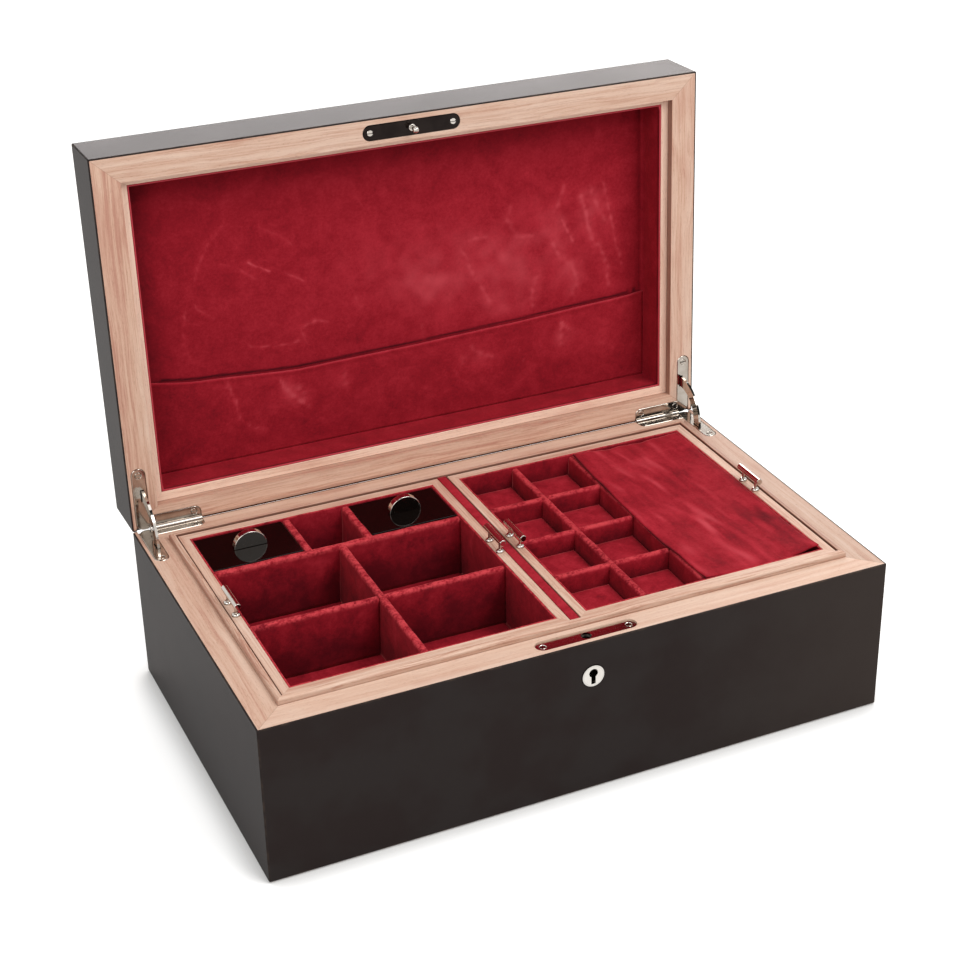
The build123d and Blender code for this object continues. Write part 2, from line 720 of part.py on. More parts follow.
def left_tray():
    room = partition / 2 + partition_gap
    lined, floor = tray("left_tray", -lined_x + tray_side_gap, -room, left_tray_height)
    x0, x1, y0, y1 = lined
    t = divider
    back_y = y1 - back_row - t
    middle_y = back_y - middle_row - t
    centre = (x0 + x1) / 2
    dividers = [
        rounded_divider(x0, x1, back_y, back_y + t, floor),
        rounded_divider(x0 + lidded_cell, x0 + lidded_cell + t, back_y + t, y1, floor),
        rounded_divider(x1 - lidded_cell - t, x1 - lidded_cell, back_y + t, y1, floor),
        rounded_divider(centre - t / 2, centre + t / 2, y0, back_y, floor),
        rounded_divider(x0, centre - t / 2, middle_y, middle_y + t, floor),
        rounded_divider(centre + t / 2, x1, middle_y, middle_y + t, floor),
    ]
    keep("left_tray_dividers", *dividers)

    lid_face = tray_top - small_lid_drop
    under = lid_face - small_lid
    g = small_lid_gap
    ledges = []
    for side, a, b in (("left", x0, x0 + lidded_cell), ("right", x1 - lidded_cell, x1)):
        for near, far in ((a, a + ledge_width), (b - ledge_width, b)):
            ledges.append(block(near, far, back_y + t, y1, under - ledge_height, under))
        board = block(a + g, b - g, back_y + t + g, y1 - g, under, lid_face)
        top_edges = board.faces().sort_by(Axis.Z)[-1].edges()
        keep("small_lid_" + side, fillet(top_edges, arris))
        x, y = (a + b) / 2 + pull_aside, (back_y + t + y1) / 2
        disc = rod_y(pull_radius, x, y - pull_thickness / 2, y + pull_thickness / 2, lid_face)
        disc = fillet(disc.edges().filter_by(GeomType.CIRCLE), pull_edge)
        reach = pull_radius + over
        near, far = y - pull_thickness, y + pull_thickness
        above = block(x - reach, x + reach, near, far, lid_face, lid_face + reach)
        pull = disc & above
        foot = pull.faces().sort_by(Axis.Z)[0].edges().filter_by(Axis.X)
        keep("small_pull_" + side, chamfer(foot, pull_foot))
    keep("small_lid_ledges", *ledges)


def right_tray():
    room = partition / 2 + partition_gap
    lined, floor = tray("right_tray", room, lined_x - tray_side_gap, right_tray_height)
    x0, x1, y0, y1 = lined
    t = divider
    column = x0 + cell_length
    section = column + t + cell_length
    row = (y1 - y0 - (cell_rows - 1) * t) / cell_rows
    dividers = [rounded_divider(column, column + t, y0, y1, floor),
                rounded_divider(section, section + t, y0, y1, floor)]
    pads = []
    for index in range(cell_rows):
        low = y0 + index * (row + t)
        for a in (x0, column + t):
            if index < cell_rows - 1:
                dividers.append(rounded_divider(a, a + cell_length, low + row, low + row + t, floor))
            g = pad_gap
            pad = block(a + g, a + cell_length - g, low + g, low + row - g, floor, floor + pad_thickness)
            pads.append(fillet(pad.faces().sort_by(Axis.Z)[-1].edges(), pad_round))
    keep("right_tray_dividers", *dividers)
    keep("cufflink_cell_pads", *pads)
    low = tray_top - divider_drop + cover_lift
    g = cover_gap
    cover = block(section + t - cover_overlap, x1 - g, y0 + g, y1 - g, low, low + cover_thickness)
    keep("suede_cover", cover)


base_case()
base_fittings()
lid_case()
lid_fittings()
left_tray()
right_tray()

os.makedirs("parts", exist_ok=True)
for name, piece in nodes.items():
    export_step(piece, "parts/" + name + ".step")
print(len(nodes), "nodes")
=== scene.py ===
import json
from math import ceil, cos, exp, hypot, pi, radians, sin

import bmesh
import bpy
from mathutils import Matrix, Vector, noise


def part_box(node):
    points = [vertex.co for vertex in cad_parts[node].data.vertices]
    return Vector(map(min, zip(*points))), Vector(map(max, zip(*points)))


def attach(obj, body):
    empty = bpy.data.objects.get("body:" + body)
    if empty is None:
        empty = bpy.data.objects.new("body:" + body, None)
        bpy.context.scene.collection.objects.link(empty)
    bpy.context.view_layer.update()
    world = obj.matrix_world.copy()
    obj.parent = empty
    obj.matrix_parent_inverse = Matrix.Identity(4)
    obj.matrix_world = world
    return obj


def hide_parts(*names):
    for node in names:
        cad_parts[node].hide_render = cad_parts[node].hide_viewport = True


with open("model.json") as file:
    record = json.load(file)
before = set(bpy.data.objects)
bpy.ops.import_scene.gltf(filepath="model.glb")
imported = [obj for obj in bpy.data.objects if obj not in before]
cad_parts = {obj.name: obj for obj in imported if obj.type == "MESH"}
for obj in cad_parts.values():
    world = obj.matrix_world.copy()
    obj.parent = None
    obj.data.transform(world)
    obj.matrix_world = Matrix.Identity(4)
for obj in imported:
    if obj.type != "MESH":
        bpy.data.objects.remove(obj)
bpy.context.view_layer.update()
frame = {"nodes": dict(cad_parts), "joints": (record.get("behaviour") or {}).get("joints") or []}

print("frame loaded:", len(frame["nodes"]), "nodes")

mm = 0.001


def srgb(text):
    # "#rrggbb" as the linear colour that a shader takes
    parts = [int(text[i:i + 2], 16) / 255 for i in (1, 3, 5)]
    return [p / 12.92 if p <= 0.04045 else ((p + 0.055) / 1.055) ** 2.4 for p in parts] + [1.0]


def boxOf(node):
    # lowest and highest corner in millimetres
    low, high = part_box(node)
    return [v / mm for v in low], [v / mm for v in high]


def soft(t):
    t = min(max(t, 0.0), 1.0)
    return t * t * (3 - 2 * t)


def wave(x, y, z, size, seed=0.0):
    # smooth noise from -1 to 1 whose bumps are about size millimetres wide
    return noise.noise(Vector((x / size + seed, y / size - seed * 0.7, z / size + seed * 1.3)))


hinge = next(joint for joint in frame["joints"] if joint["name"] == "lid_hinge")
hingeLine = Vector((0.0, hinge["pos_m"][1] / mm, hinge["pos_m"][2] / mm))
openAngle = radians(-hinge["range_deg"][0])
openTurn = (Matrix.Translation(hingeLine) @ Matrix.Rotation(-openAngle, 4, "X")
            @ Matrix.Translation(-hingeLine))


class Val:
    # what a node gives out; sums with it become Math nodes
    def __init__(self, look, socket):
        self.look = look
        self.socket = socket

    def maths(self, operation, *others):
        inputs = dict(enumerate((self,) + others))
        return self.look.node("ShaderNodeMath", {"operation": operation}, inputs)

    def reflected(self, operation, first):
        return self.look.node("ShaderNodeMath", {"operation": operation}, {0: first, 1: self})

    def __add__(self, other):
        return self.maths("ADD", other)

    def __sub__(self, other):
        return self.maths("SUBTRACT", other)

    def __rsub__(self, other):
        return self.reflected("SUBTRACT", other)

    def __mul__(self, other):
        return self.maths("MULTIPLY", other)

    def __truediv__(self, other):
        return self.maths("DIVIDE", other)

    def __rtruediv__(self, other):
        return self.reflected("DIVIDE", other)

    def __pow__(self, other):
        return self.maths("POWER", other)

    __radd__ = __add__
    __rmul__ = __mul__

    def size(self):
        return self.maths("ABSOLUTE")

    def below(self, other):
        return self.maths("LESS_THAN", other)

    def fade(self, start, end):
        # 0 at start, 1 at end, smooth between, also with start above end
        settings = {"interpolation_type": "SMOOTHSTEP"}
        if start < end:
            return self.look.node("ShaderNodeMapRange", settings, {0: self, 1: start, 2: end})
        inputs = {0: self, 1: end, 2: start, 3: 1.0, 4: 0.0}
        return self.look.node("ShaderNodeMapRange", settings, inputs)


class Look:
    # the nodes of a new material, or of the world when one is given
    def __init__(self, name, surface, world=None):
        self.material = world or bpy.data.materials.new(name)
        self.material.use_nodes = True
        self.tree = self.material.node_tree
        self.surface = self.tree.nodes["Background" if world else "Principled BSDF"]
        for key, value in surface.items():
            self.feed(self.surface.inputs[key], value)

    def feed(self, socket, value):
        # value: another node's output, "#rrggbb" or plain numbers
        if isinstance(value, Val):
            self.tree.links.new(value.socket, socket)
        else:
            socket.default_value = srgb(value) if isinstance(value, str) else value

    def node(self, kind, settings=None, inputs=None, output=0):
        made = self.tree.nodes.new(kind)
        for key, value in (settings or {}).items():
            if key == "stops":
                ramp = made.color_ramp.elements
                while len(ramp) < len(value):
                    ramp.new(0.5)
                for stop, (place, colour) in zip(ramp, value):
                    stop.position = place
                    stop.color = srgb(colour)
            else:
                setattr(made, key, value)
        for key, value in (inputs or {}).items():
            self.feed(made.inputs[key], value)
        return Val(self, made.outputs[output])

    def place(self, turned=False):
        # object coordinates in millimetres, on the lid as if it were shut
        coords = self.node("ShaderNodeTexCoord", output=3)
        metres = self.node("ShaderNodeVectorMath", {"operation": "SCALE"}, {0: coords, 3: 1 / mm})
        if not turned:
            return metres
        back = Matrix.Rotation(openAngle, 3, "X")
        inputs = {0: metres, 1: hingeLine - back @ hingeLine, 2: (openAngle, 0.0, 0.0)}
        return self.node("ShaderNodeMapping", {}, inputs)

    def parts(self, vector):
        return [self.node("ShaderNodeSeparateXYZ", {}, {0: vector}, output=i) for i in range(3)]

    def join(self, x, y, z):
        return self.node("ShaderNodeCombineXYZ", {}, {0: x, 1: y, 2: z})

    def grey(self, value):
        return self.join(value, value, value)

    def stretch(self, vector, scale, offset=(0.0, 0.0, 0.0)):
        inputs = {0: vector, 1: scale, 2: offset}
        return self.node("ShaderNodeVectorMath", {"operation": "MULTIPLY_ADD"}, inputs)

    def cloud(self, vector, size, detail=2.0, rough=0.5, twist=0.0):
        inputs = {"Vector": vector, "Scale": 1 / size, "Detail": detail, "Roughness": rough,
                  "Distortion": twist}
        return self.node("ShaderNodeTexNoise", {}, inputs)

    def mix(self, share, first, second, way="MIX"):
        inputs = {0: share, 6: first, 7: second}
        return self.node("ShaderNodeMix", {"data_type": "RGBA", "blend_type": way}, inputs, output=2)

    def ramp(self, share, stops):
        return self.node("ShaderNodeValToRGB", {"stops": stops}, {0: share})

    def colour(self, value):
        self.feed(self.surface.inputs["Base Color"], value)

    def rough(self, value):
        self.feed(self.surface.inputs["Roughness"], value)

    def bump(self, height, depth):
        # height 0 to 1 stands for depth millimetres
        inputs = {"Strength": 1.0, "Distance": depth * mm, "Height": height}
        self.feed(self.surface.inputs["Normal"], self.node("ShaderNodeBump", {}, inputs))


case = {
    # millimetres on the shut box
    "halfLength": 200.0,
    "halfDepth": 120.0,
    "baseRims": (1.0, 101.9),     # heights of the lower and upper rim of the skin
    # the upper one lies past the lid's top, whose arrises stay unworn
    "lidRims": (102.1, 142.0),
    "keyhole": 79.3,              # height of its middle
    "keyholeBore": 5.6,
    "escutcheon": 7.15,           # its radius
}

lacquerFinish = {
    "colour": "#2f2827",
    "cooler": "#322d2c",
    "paintedSheen": "#3d3633",  # painted sheen, brighter towards the right-hand end
    "worn": "#57493f",     # where the arrises have been handled
    "edge": "#96694f",     # bare edge at the back of the base
    # painted shade of the hinge gap, along the lid's back edge
    "lidGapShade": "#40200f",
    "tint": "#ffe2d0",
    "gloss": 0.018,       # level of the sheen that rises at grazing angles
    "roughness": 0.24,
    "mottle": 38.0,       # millimetres
    "orangePeel": 1.4,
    "wearReach": 1.4,     # how far the worn arrises reach
    "bareDepth": 1.2,     # depth of the band along the back: bare edge of the skin on the base, painted shade of the hinge gap on the lid
    "paintedSheenFrom": 20.0,  # x where the painted sheen starts
    "paintedSheenTo": 230.0,
}


def makeLacquer(name, bottom, top, turned=False):
    # bottom and top: heights of the panels' two rims
    f = lacquerFinish
    look = Look(name, {"Specular IOR Level": f["gloss"], "Specular Tint": f["tint"]})
    at = look.place(turned)
    x, y, z = look.parts(at)
    mottle = look.cloud(at, f["mottle"], 3.0)
    fine = look.cloud(at, 2.2, 3.0, 0.6)
    nearEnd = (case["halfLength"] - x.size()).fade(f["wearReach"], 0.2)
    nearSide = (case["halfDepth"] - y.size()).fade(f["wearReach"], 0.2)
    middle, half = (bottom + top) / 2, (top - bottom) / 2
    nearRim = (half - (z - middle).size()).fade(1.2, 0.2)
    worn = (nearEnd * nearSide + nearRim * nearEnd + nearRim * nearSide).maths("MINIMUM", 1.0)
    worn = worn * look.cloud(at, 9.0, 3.0, 0.6).fade(0.40, 0.70)
    tint = look.mix(mottle.fade(0.35, 0.65), f["colour"], f["cooler"])
    # painted sheen: the lacquer turns brighter towards the right-hand end
    wandering = x + (mottle - 0.5) * 50.0
    tint = look.mix(wandering.fade(f["paintedSheenFrom"], f["paintedSheenTo"]), tint, f["paintedSheen"])
    tint = look.mix(worn * 0.45, tint, f["worn"])
    # along the back: bare wood on the base, painted shade of the hinge gap on the lid
    bare = case["halfDepth"] - f["bareDepth"]
    rim = bottom if turned else top
    behind = y.fade(bare - 0.1, bare + 0.1) * (z - rim).size().fade(0.4, 0.2)
    look.colour(look.mix(behind, tint, f["lidGapShade" if turned else "edge"]))
    look.rough(f["roughness"] + (mottle - 0.5) * 0.08 + (fine - 0.5) * 0.05 + worn * 0.1)
    look.bump(look.cloud(at, f["orangePeel"], 1.0), 0.003)
    return look.material


cedarFinish = {
    "pale": "#e2c4b0",
    "body": "#d6b099",
    "pink": "#c08d7a",
    "pore": "#84533f",
    "seam": "#7a4c38",
    # painted shade in recesses and gaps
    "groove": "#64301e",
    "streak": "#b07a64",
    "roughness": 0.52,
    "wobble": 1.3,        # how far the grain wanders, in millimetres
    # how finely each kind of marking changes along the grain and across it
    "bands": (0.006, 0.21, 0.23),
    "streaks": (0.018, 0.9, 1.0),
    "fleck": (0.30, 2.8, 2.8),
    "pores": (0.36, 3.6, 3.6),
    "blotch": (0.016, 0.06, 0.06),
}


def dressNode(name, material):
    for slot in frame["nodes"][name].material_slots:
        slot.material = material


def dressCedar(node, name, along="x", turned=False, frameOf=None, shade=0.0, seed=0.0, heightShades=(),
               edgeShades=(), shadedBore=None, paintedBrightness=1.0, streaky=0.0):
    # frameOf: a mitred frame as in wood below
    # the shades by height: painted shade in recesses and gaps, as the height where each starts and is
    # full, and its strength; the shades by edge: the same from the frame's outer edge at 0 to its inner
    # edge at 1; the hole: centre and radius of a hole darkened as painted shade; the brightness factor:
    # painted light, brightening or darkening the whole piece
    f = cedarFinish
    look = Look(name, {"Specular IOR Level": 0.3, "Coat Roughness": 0.4})
    at = look.place(turned)
    x, y, z = look.parts(at)
    seam = None
    if frameOf:
        midX, midY, halfX, halfY, wallX, wallFront, wallBack = frameOf
        fromSide = (halfX - (x - midX).size()) / wallX
        toBack = (y - midY).fade(-1.0, 1.0)
        fromEnd = (halfY - (y - midY).size()) / (wallFront + toBack * (wallBack - wallFront))
        seam = (fromSide - fromEnd).size().fade(0.022, 0.006)
    if along == "frame":
        onSide = fromSide.below(fromEnd)
        swapped = look.join(y, x + 31.7, z)
        straight = look.join(x, y, z)
        inputs = {0: onSide, 4: straight, 5: swapped}
        at = look.node("ShaderNodeMix", {"data_type": "VECTOR"}, inputs, output=1)
    elif along == "y":
        at = look.join(y, x, z)
    # from here on the grain runs along x
    at = look.stretch(at, (1.0, 1.0, 1.0), (seed * 37.0, seed * 11.0, seed * 5.0))
    wander = look.cloud(look.stretch(at, (0.011, 0.05, 0.05)), 1.0, 2.0)
    gx, gy, gz = look.parts(at)
    sideways, upwards = (wander - 0.5) * (f["wobble"] * 6), (wander - 0.5) * (f["wobble"] * 5)
    lines = look.join(gx, gy + sideways, gz + upwards)
    bands = look.cloud(look.stretch(lines, f["bands"]), 1.0, 3.0, 0.6)
    streaks = look.cloud(look.stretch(lines, f["streaks"]), 1.0, 4.0, 0.7)
    fleck = look.cloud(look.stretch(lines, f["fleck"]), 1.0, 3.0, 0.7)
    pores = look.cloud(look.stretch(lines, f["pores"], (3.0, 7.0, 1.0)), 1.0, 2.0, 0.6)
    blotch = look.cloud(look.stretch(lines, f["blotch"], (9.0, 2.0, 4.0)), 1.0, 2.0, 0.5)
    tone = bands * 0.42 + streaks * 0.30 + fleck * 0.16 + blotch * 0.12 + shade
    stops = [(0.36, f["pink"]), (0.47, f["body"]), (0.60, f["pale"])]
    wood = look.ramp(tone, stops)
    pore = pores.fade(0.40, 0.30) * streaks.fade(0.75, 0.35)
    wood = look.mix(pore * 0.50, wood, f["pore"])
    wood = look.mix(blotch.fade(0.44, 0.30) * 0.35, wood, f["pink"])
    if seam:
        wood = look.mix(seam * 0.30, wood, f["seam"])
    if streaky:
        wood = look.mix(streaks.fade(0.52, 0.38) * streaky, wood, f["streak"])
    # painted light: the whole piece is brightened or darkened for how light falls on it
    if paintedBrightness != 1.0:
        wood = look.mix(1.0, wood, (paintedBrightness, paintedBrightness, paintedBrightness, 1.0), "MULTIPLY")
    # painted shade in recesses and gaps, by height
    for start, full, strength in heightShades:
        wood = look.mix(z.fade(start, full) * strength, wood, f["groove"])
    # painted shade along the frame's edges
    for start, full, strength in edgeShades:
        inward = fromSide.maths("MINIMUM", fromEnd)
        wood = look.mix(inward.fade(start, full) * strength, wood, f["groove"])
    # painted shade inside the keyhole
    if shadedBore:
        reach = ((x - shadedBore[0]) ** 2.0 + (z - shadedBore[1]) ** 2.0) ** 0.5
        wood = look.mix(reach.fade(shadedBore[2] + 0.4, shadedBore[2] - 0.4), wood, (0.004, 0.003, 0.002, 1.0))
    look.colour(wood)
    look.rough(f["roughness"] + (streaks - 0.5) * 0.18 + pore * 0.15)
    look.bump(streaks * 0.35 + fleck * 0.25 - pore * 0.6, 0.05)
    dressNode(node, look.material)


suedeFinish = {
    "pressedAndShaded": "#38050d",   # painted shade low on the dividers and along walls and edges; also flattened pile in creases
    "deep": "#680c19",
    "body": "#931624",
    "lit": "#b42a38",
    "raisedAndLit": "#c8515a",    # where the pile has been brushed up, and painted highlight along rolled edges and hems
    "frayedAndLit": "#cd464c",    # along top edges: wear and painted highlight
    "sheen": "#ff6f70",
    "roughness": 0.86,
}


def makeSuede(name, turned=False, brushed=0.0, lift=0.0, mottle=1.0, topAt=None, topDepth=3.0,
              frayAndLight=0.5):
    # brushed: strength of long soft strokes; topAt: height whose last topDepth millimetres are paler,
    # with wear and painted highlight
    f = suedeFinish
    look = Look(name, {"Specular IOR Level": 0.12, "Sheen Weight": 0.35, "Sheen Roughness": 0.35,
                       "Sheen Tint": f["sheen"]})
    at = look.place(turned)
    broad = look.cloud(at, 19.0, 3.0, 0.6, 0.6)
    patch = look.cloud(look.stretch(at, (1.0, 1.0, 1.0), (17.0, 5.0, 9.0)), 6.0, 3.0, 0.6, 0.3)
    fuzz = look.cloud(at, 0.55, 3.0, 0.65)
    grain = look.cloud(at, 1.7, 2.0, 0.6)
    tone = (broad - 0.5) * (0.44 * mottle) + (patch - 0.5) * (0.22 * mottle) + (fuzz - 0.5) * 0.20
    tone = tone + (grain - 0.5) * 0.16 + (0.5 + lift)
    if brushed:
        strokes = look.cloud(look.stretch(at, (0.15, 0.026, 0.1)), 1.0, 4.0, 0.65, 0.8)
        tone = tone + (strokes - 0.5) * brushed
    # the point attribute: brushed-up pile and painted highlight above 0, painted shade below 0
    nap = look.node("ShaderNodeAttribute", {"attribute_name": "nap"}, output=2)
    tone = tone + nap * 0.20
    low = nap.fade(-0.1, -1.0)
    stops = [(0.34, f["deep"]), (0.50, f["body"]), (0.68, f["lit"])]
    leather = look.ramp(tone, stops)
    leather = look.mix(nap.fade(0.15, 1.1) * 0.60, leather, f["raisedAndLit"])
    leather = look.mix(low * 0.75, leather, f["pressedAndShaded"])
    if topAt is not None:
        # paler top edges: wear and painted highlight
        edge = look.parts(at)[2].fade(topAt - topDepth, topAt - 0.2)
        worn = edge * (patch * 0.5 + grain * 0.5).fade(0.36, 0.60)
        leather = look.mix(worn * frayAndLight, leather, f["frayedAndLit"])
    look.colour(leather)
    look.rough(f["roughness"] + (fuzz - 0.5) * 0.2)
    look.bump(fuzz * 0.45 + grain * 0.35 + patch * 0.35, 0.14)
    return look.material


metalFinish = {
    # colour, its haze, roughness, scratches
    "polishedNickel": ("#d3cdc6", "#c8c0b7", 0.07, 0.05),
    # a darker copy of the nickel, as painted shade, to tone down what leaves, pins and screws reflect
    "darkenedNickel": ("#bdb5ac", "#aca298", 0.09, 0.06),
    # the strike plate's nickel painted dark, a painted reflection of the dark surroundings it faces
    "paintedDarkMirror": ("#2c2624", "#241f1e", 0.10, 0.05),
    "lockSteel": ("#5d5955", "#4a4643", 0.30, 0.2),
    # a brighter copy of the nickel, as painted light on the escutcheon
    "brightenedNickel": ("#f2eee9", "#e9e4de", 0.16, 0.05),
}


def makeMetal(name, ring=None):
    # ring: height and radius of a disc in the front, with a painted shadow round its edge and a painted
    # grey ring on its embossed rim
    first, second, rough, scratch = metalFinish[name]
    look = Look(name, {"Metallic": 1.0})
    at = look.place()
    haze = look.cloud(at, 9.0, 3.0, 0.6)
    marks = look.cloud(look.stretch(at, (0.4, 3.0, 3.0)), 1.0, 3.0, 0.7)
    metal = look.mix(haze.fade(0.3, 0.7), first, second)
    look.rough(rough + haze * 0.03 + marks.fade(0.55, 0.8) * scratch)
    if ring:
        height, radius = ring
        x, y, z = look.parts(at)
        away = (x ** 2.0 + (z - height) ** 2.0) ** 0.5
        # painted shadow round the disc's edge, then painted shade on its embossed rim
        metal = look.mix(away.fade(radius - 0.35, radius - 0.2), metal, "#2a2522")
        band = (away - (radius - 0.9)).size().fade(0.45, 0.15)
        metal = look.mix(band * 0.25, metal, "#a9a29b")
    look.colour(metal)
    look.bump(haze, 0.01)
    return look.material


def makeBlackGloss():
    look = Look("blackGloss", {"Specular IOR Level": 0.14})
    at = look.place()
    dust = look.cloud(at, 0.8, 3.0, 0.6)
    look.colour(look.mix(look.cloud(at, 30.0), "#0a0504", "#100907"))
    look.rough(0.04 + dust.fade(0.6, 0.85) * 0.08)
    look.bump(look.cloud(at, 12.0), 0.01)
    return look.material


def makeBoard():
    look = Look("plywoodBoard", {"Specular IOR Level": 0.3})
    at = look.place()
    grain = look.cloud(look.stretch(at, (0.02, 0.8, 2.5)), 1.0, 3.0, 0.6)
    look.colour(look.ramp(grain, [(0.35, "#b08c68"), (0.65, "#cfae86")]))
    look.rough(0.6 + (grain - 0.5) * 0.2)
    look.bump(grain, 0.08)
    return look.material


def makeBaize():
    look = Look("baize", {"Specular IOR Level": 0.1, "Sheen Weight": 0.3, "Sheen Roughness": 0.5})
    at = look.place()
    felt = look.cloud(at, 0.7, 3.0, 0.7)
    patch = look.cloud(at, 14.0, 2.0)
    stops = [(0.35, "#141413"), (0.65, "#262523")]
    look.colour(look.ramp(felt * 0.6 + patch * 0.4, stops))
    look.rough(0.9 + (felt - 0.5) * 0.1)
    look.bump(felt, 0.25)
    return look.material


# mitred frames: middle x and y, half length and depth, widths of the end, front and back walls
wood = {
    "base": (0.0, 0.0, 199.0, 119.0, 17.0, 17.0, 17.0),
    "liner": (0.0, 0.0, 182.0, 102.0, 3.5, 3.5, 3.5),
    "lid": (0.0, 0.0, 199.0, 119.0, 16.6, 15.5, 13.6),
    "lidLiner": (0.0, 0.95, 182.4, 104.45, 4.8, 3.8, 5.6),
    "leftTray": (-90.6, -0.4, 87.3, 97.8, 6.0, 6.0, 6.0),
    "rightTray": (90.6, -0.4, 87.3, 97.8, 6.0, 6.0, 6.0),
}


# tone and painted brightness of the base rail, tone, painted shade on the inner face and painted
# brightness of the lid rail
railShades = {
    "front": (0.03, 1.0, 0.02, 0.35, 1.0),
    "back": (-0.01, 0.96, -0.04, 0.30, 1.09),
    "left": (-0.03, 0.97, -0.07, 0.45, 1.05),
    "right": (-0.01, 0.80, 0.02, 0.62, 1.04),
}


def dressWood():
    keyhole = (0.0, case["keyhole"], case["keyholeBore"])
    for index, (side, values) in enumerate(railShades.items()):
        along = "x" if side in ("front", "back") else "y"
        shade, paintedBrightness, onLid, inner, lidPaintedBrightness = values
        title = side.title()
        shadedBore = keyhole if side == "front" else None
        dressCedar("base_" + side + "_rail", "cedarBase" + title, along, False, wood["base"], shade,
                   index + 1.0, shadedBore=shadedBore, paintedBrightness=paintedBrightness)
        # painted shade low on the liner's faces and along its inner edge, beside the trays
        dressCedar("base_liner_" + side, "cedarLiner" + title, along, False, wood["liner"],
                   shade - 0.04, index + 6.0, [(105.4, 104.4, 0.22), (103.0, 101.9, 0.35)],
                   [(0.90, 0.99, 0.75)], paintedBrightness=paintedBrightness, streaky=0.6)
        # painted shade on the lid rails' inner faces in the recess, and along the back rail's outer edge
        # at the hinge
        edgeShades = [(0.16, 0.02, 0.35)] if side == "back" else []
        dressCedar("lid_" + side + "_rail", "cedarLid" + title, along, True, wood["lid"], onLid,
                   index + 11.0, [(102.4, 102.9, inner), (106.2, 107.8, 0.35)], edgeShades, paintedBrightness=lidPaintedBrightness,
                   streaky=0.25)
    # the lid's liner boards are brightened as painted light against the shade of their recess
    dressCedar("lid_liner_boards", "cedarLidLiner", "frame", True, wood["lidLiner"], 0.10, 16.0,
               paintedBrightness=1.3, streaky=0.2)
    for index, side in enumerate(("left", "right")):
        # painted shade low on the tray frames' outer sides and along their outer edge, in the gaps
        # beside them
        dressCedar(side + "_tray_frame", "cedarTray" + side.title(), "frame", False,
                   wood[side + "Tray"], 0.0, index + 21.0, [(104.9, 104.3, 0.65)],
                   [(0.08, 0.03, 0.7)], streaky=0.3)
    dressCedar("tray_bearers", "cedarBearers", seed=25.0)


finishes = [
    # material and the CAD pieces that wear it
    (makeLacquer("baseLacquer", *case["baseRims"]), ["base_lacquered_panels"]),
    (makeLacquer("lidLacquer", *case["lidRims"], turned=True), ["lid_lacquered_panels"]),
    (makeMetal("polishedNickel"),
     ["hinge_stay_left", "hinge_stay_right", "strike_stud", "strike_screws", "small_pull_left",
      "small_pull_right", "left_tray_grip_left", "left_tray_grip_right", "right_tray_grip_left",
      "right_tray_grip_right", "lock_plate"]),
    (makeMetal("darkenedNickel"),
     ["hinge_base_leaf_left", "hinge_base_leaf_right", "hinge_lid_leaf_left", "hinge_lid_leaf_right",
      "hinge_pins", "hinge_base_screws", "hinge_lid_screws", "lock_plate_screws"]),
    (makeMetal("brightenedNickel", (case["keyhole"], case["escutcheon"])), ["keyhole_escutcheon"]),
    (makeMetal("paintedDarkMirror"), ["strike_plate"]),
    (makeMetal("lockSteel"), ["lock_case", "lock_bolt"]),
    (makeBlackGloss(), ["small_lid_left", "small_lid_right"]),
    (makeBoard(), ["base_bottom_panel", "lid_top_panel", "left_tray_bottom", "right_tray_bottom"]),
]
print("finishes made")

dressWood()
for material, names in finishes:
    for name in names:
        dressNode(name, material)
print("CAD pieces dressed")


def addObject(name, data):
    made = bpy.data.objects.new(name, data)
    bpy.context.scene.collection.objects.link(made)
    return made


def makePiece(name, mesh, material, body, turned=False, nap=None):
    # per-point shading: how far the pile is brushed up, with painted highlight along rolled edges and
    # hems above 0, and painted shade below 0
    data = bpy.data.meshes.new(name)
    placed = [openTurn @ Vector(p) if turned else Vector(p) for p in mesh.points]
    data.from_pydata([p * mm for p in placed], [], mesh.faces)
    data.validate()
    shape = bmesh.new()
    shape.from_mesh(data)
    bmesh.ops.recalc_face_normals(shape, faces=shape.faces)
    shape.to_mesh(data)
    shape.free()
    data.polygons.foreach_set("use_smooth", [True] * len(data.polygons))
    if nap:
        data.attributes.new("nap", "FLOAT", "POINT").data.foreach_set("value", nap)
    data.materials.append(material)
    piece = addObject(name, data)
    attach(piece, body)
    return piece


class Mesh:
    # collects points and faces of one piece, in millimetres
    def __init__(self):
        self.points = []
        self.faces = []

    def grid(self, rows, closed=False):
        # rows of equally many points joined into a skin; closed joins each row's ends
        wide = len(rows[0])
        faces = []
        for r in range(len(rows) - 1):
            for c in range(wide if closed else wide - 1):
                after = (c + 1) % wide
                faces.append((r * wide + c, r * wide + after, (r + 1) * wide + after,
                              (r + 1) * wide + c))
        if closed:
            faces.append(tuple(range(wide)))
            faces.append(tuple(reversed(range((len(rows) - 1) * wide, len(rows) * wide))))
        start = len(self.points)
        self.points += [p for row in rows for p in row]
        self.faces += [tuple(start + i for i in face) for face in faces]


def spaced(low, high, step):
    count = max(1, ceil((high - low) / step))
    return [low + (high - low) * i / count for i in range(count + 1)]


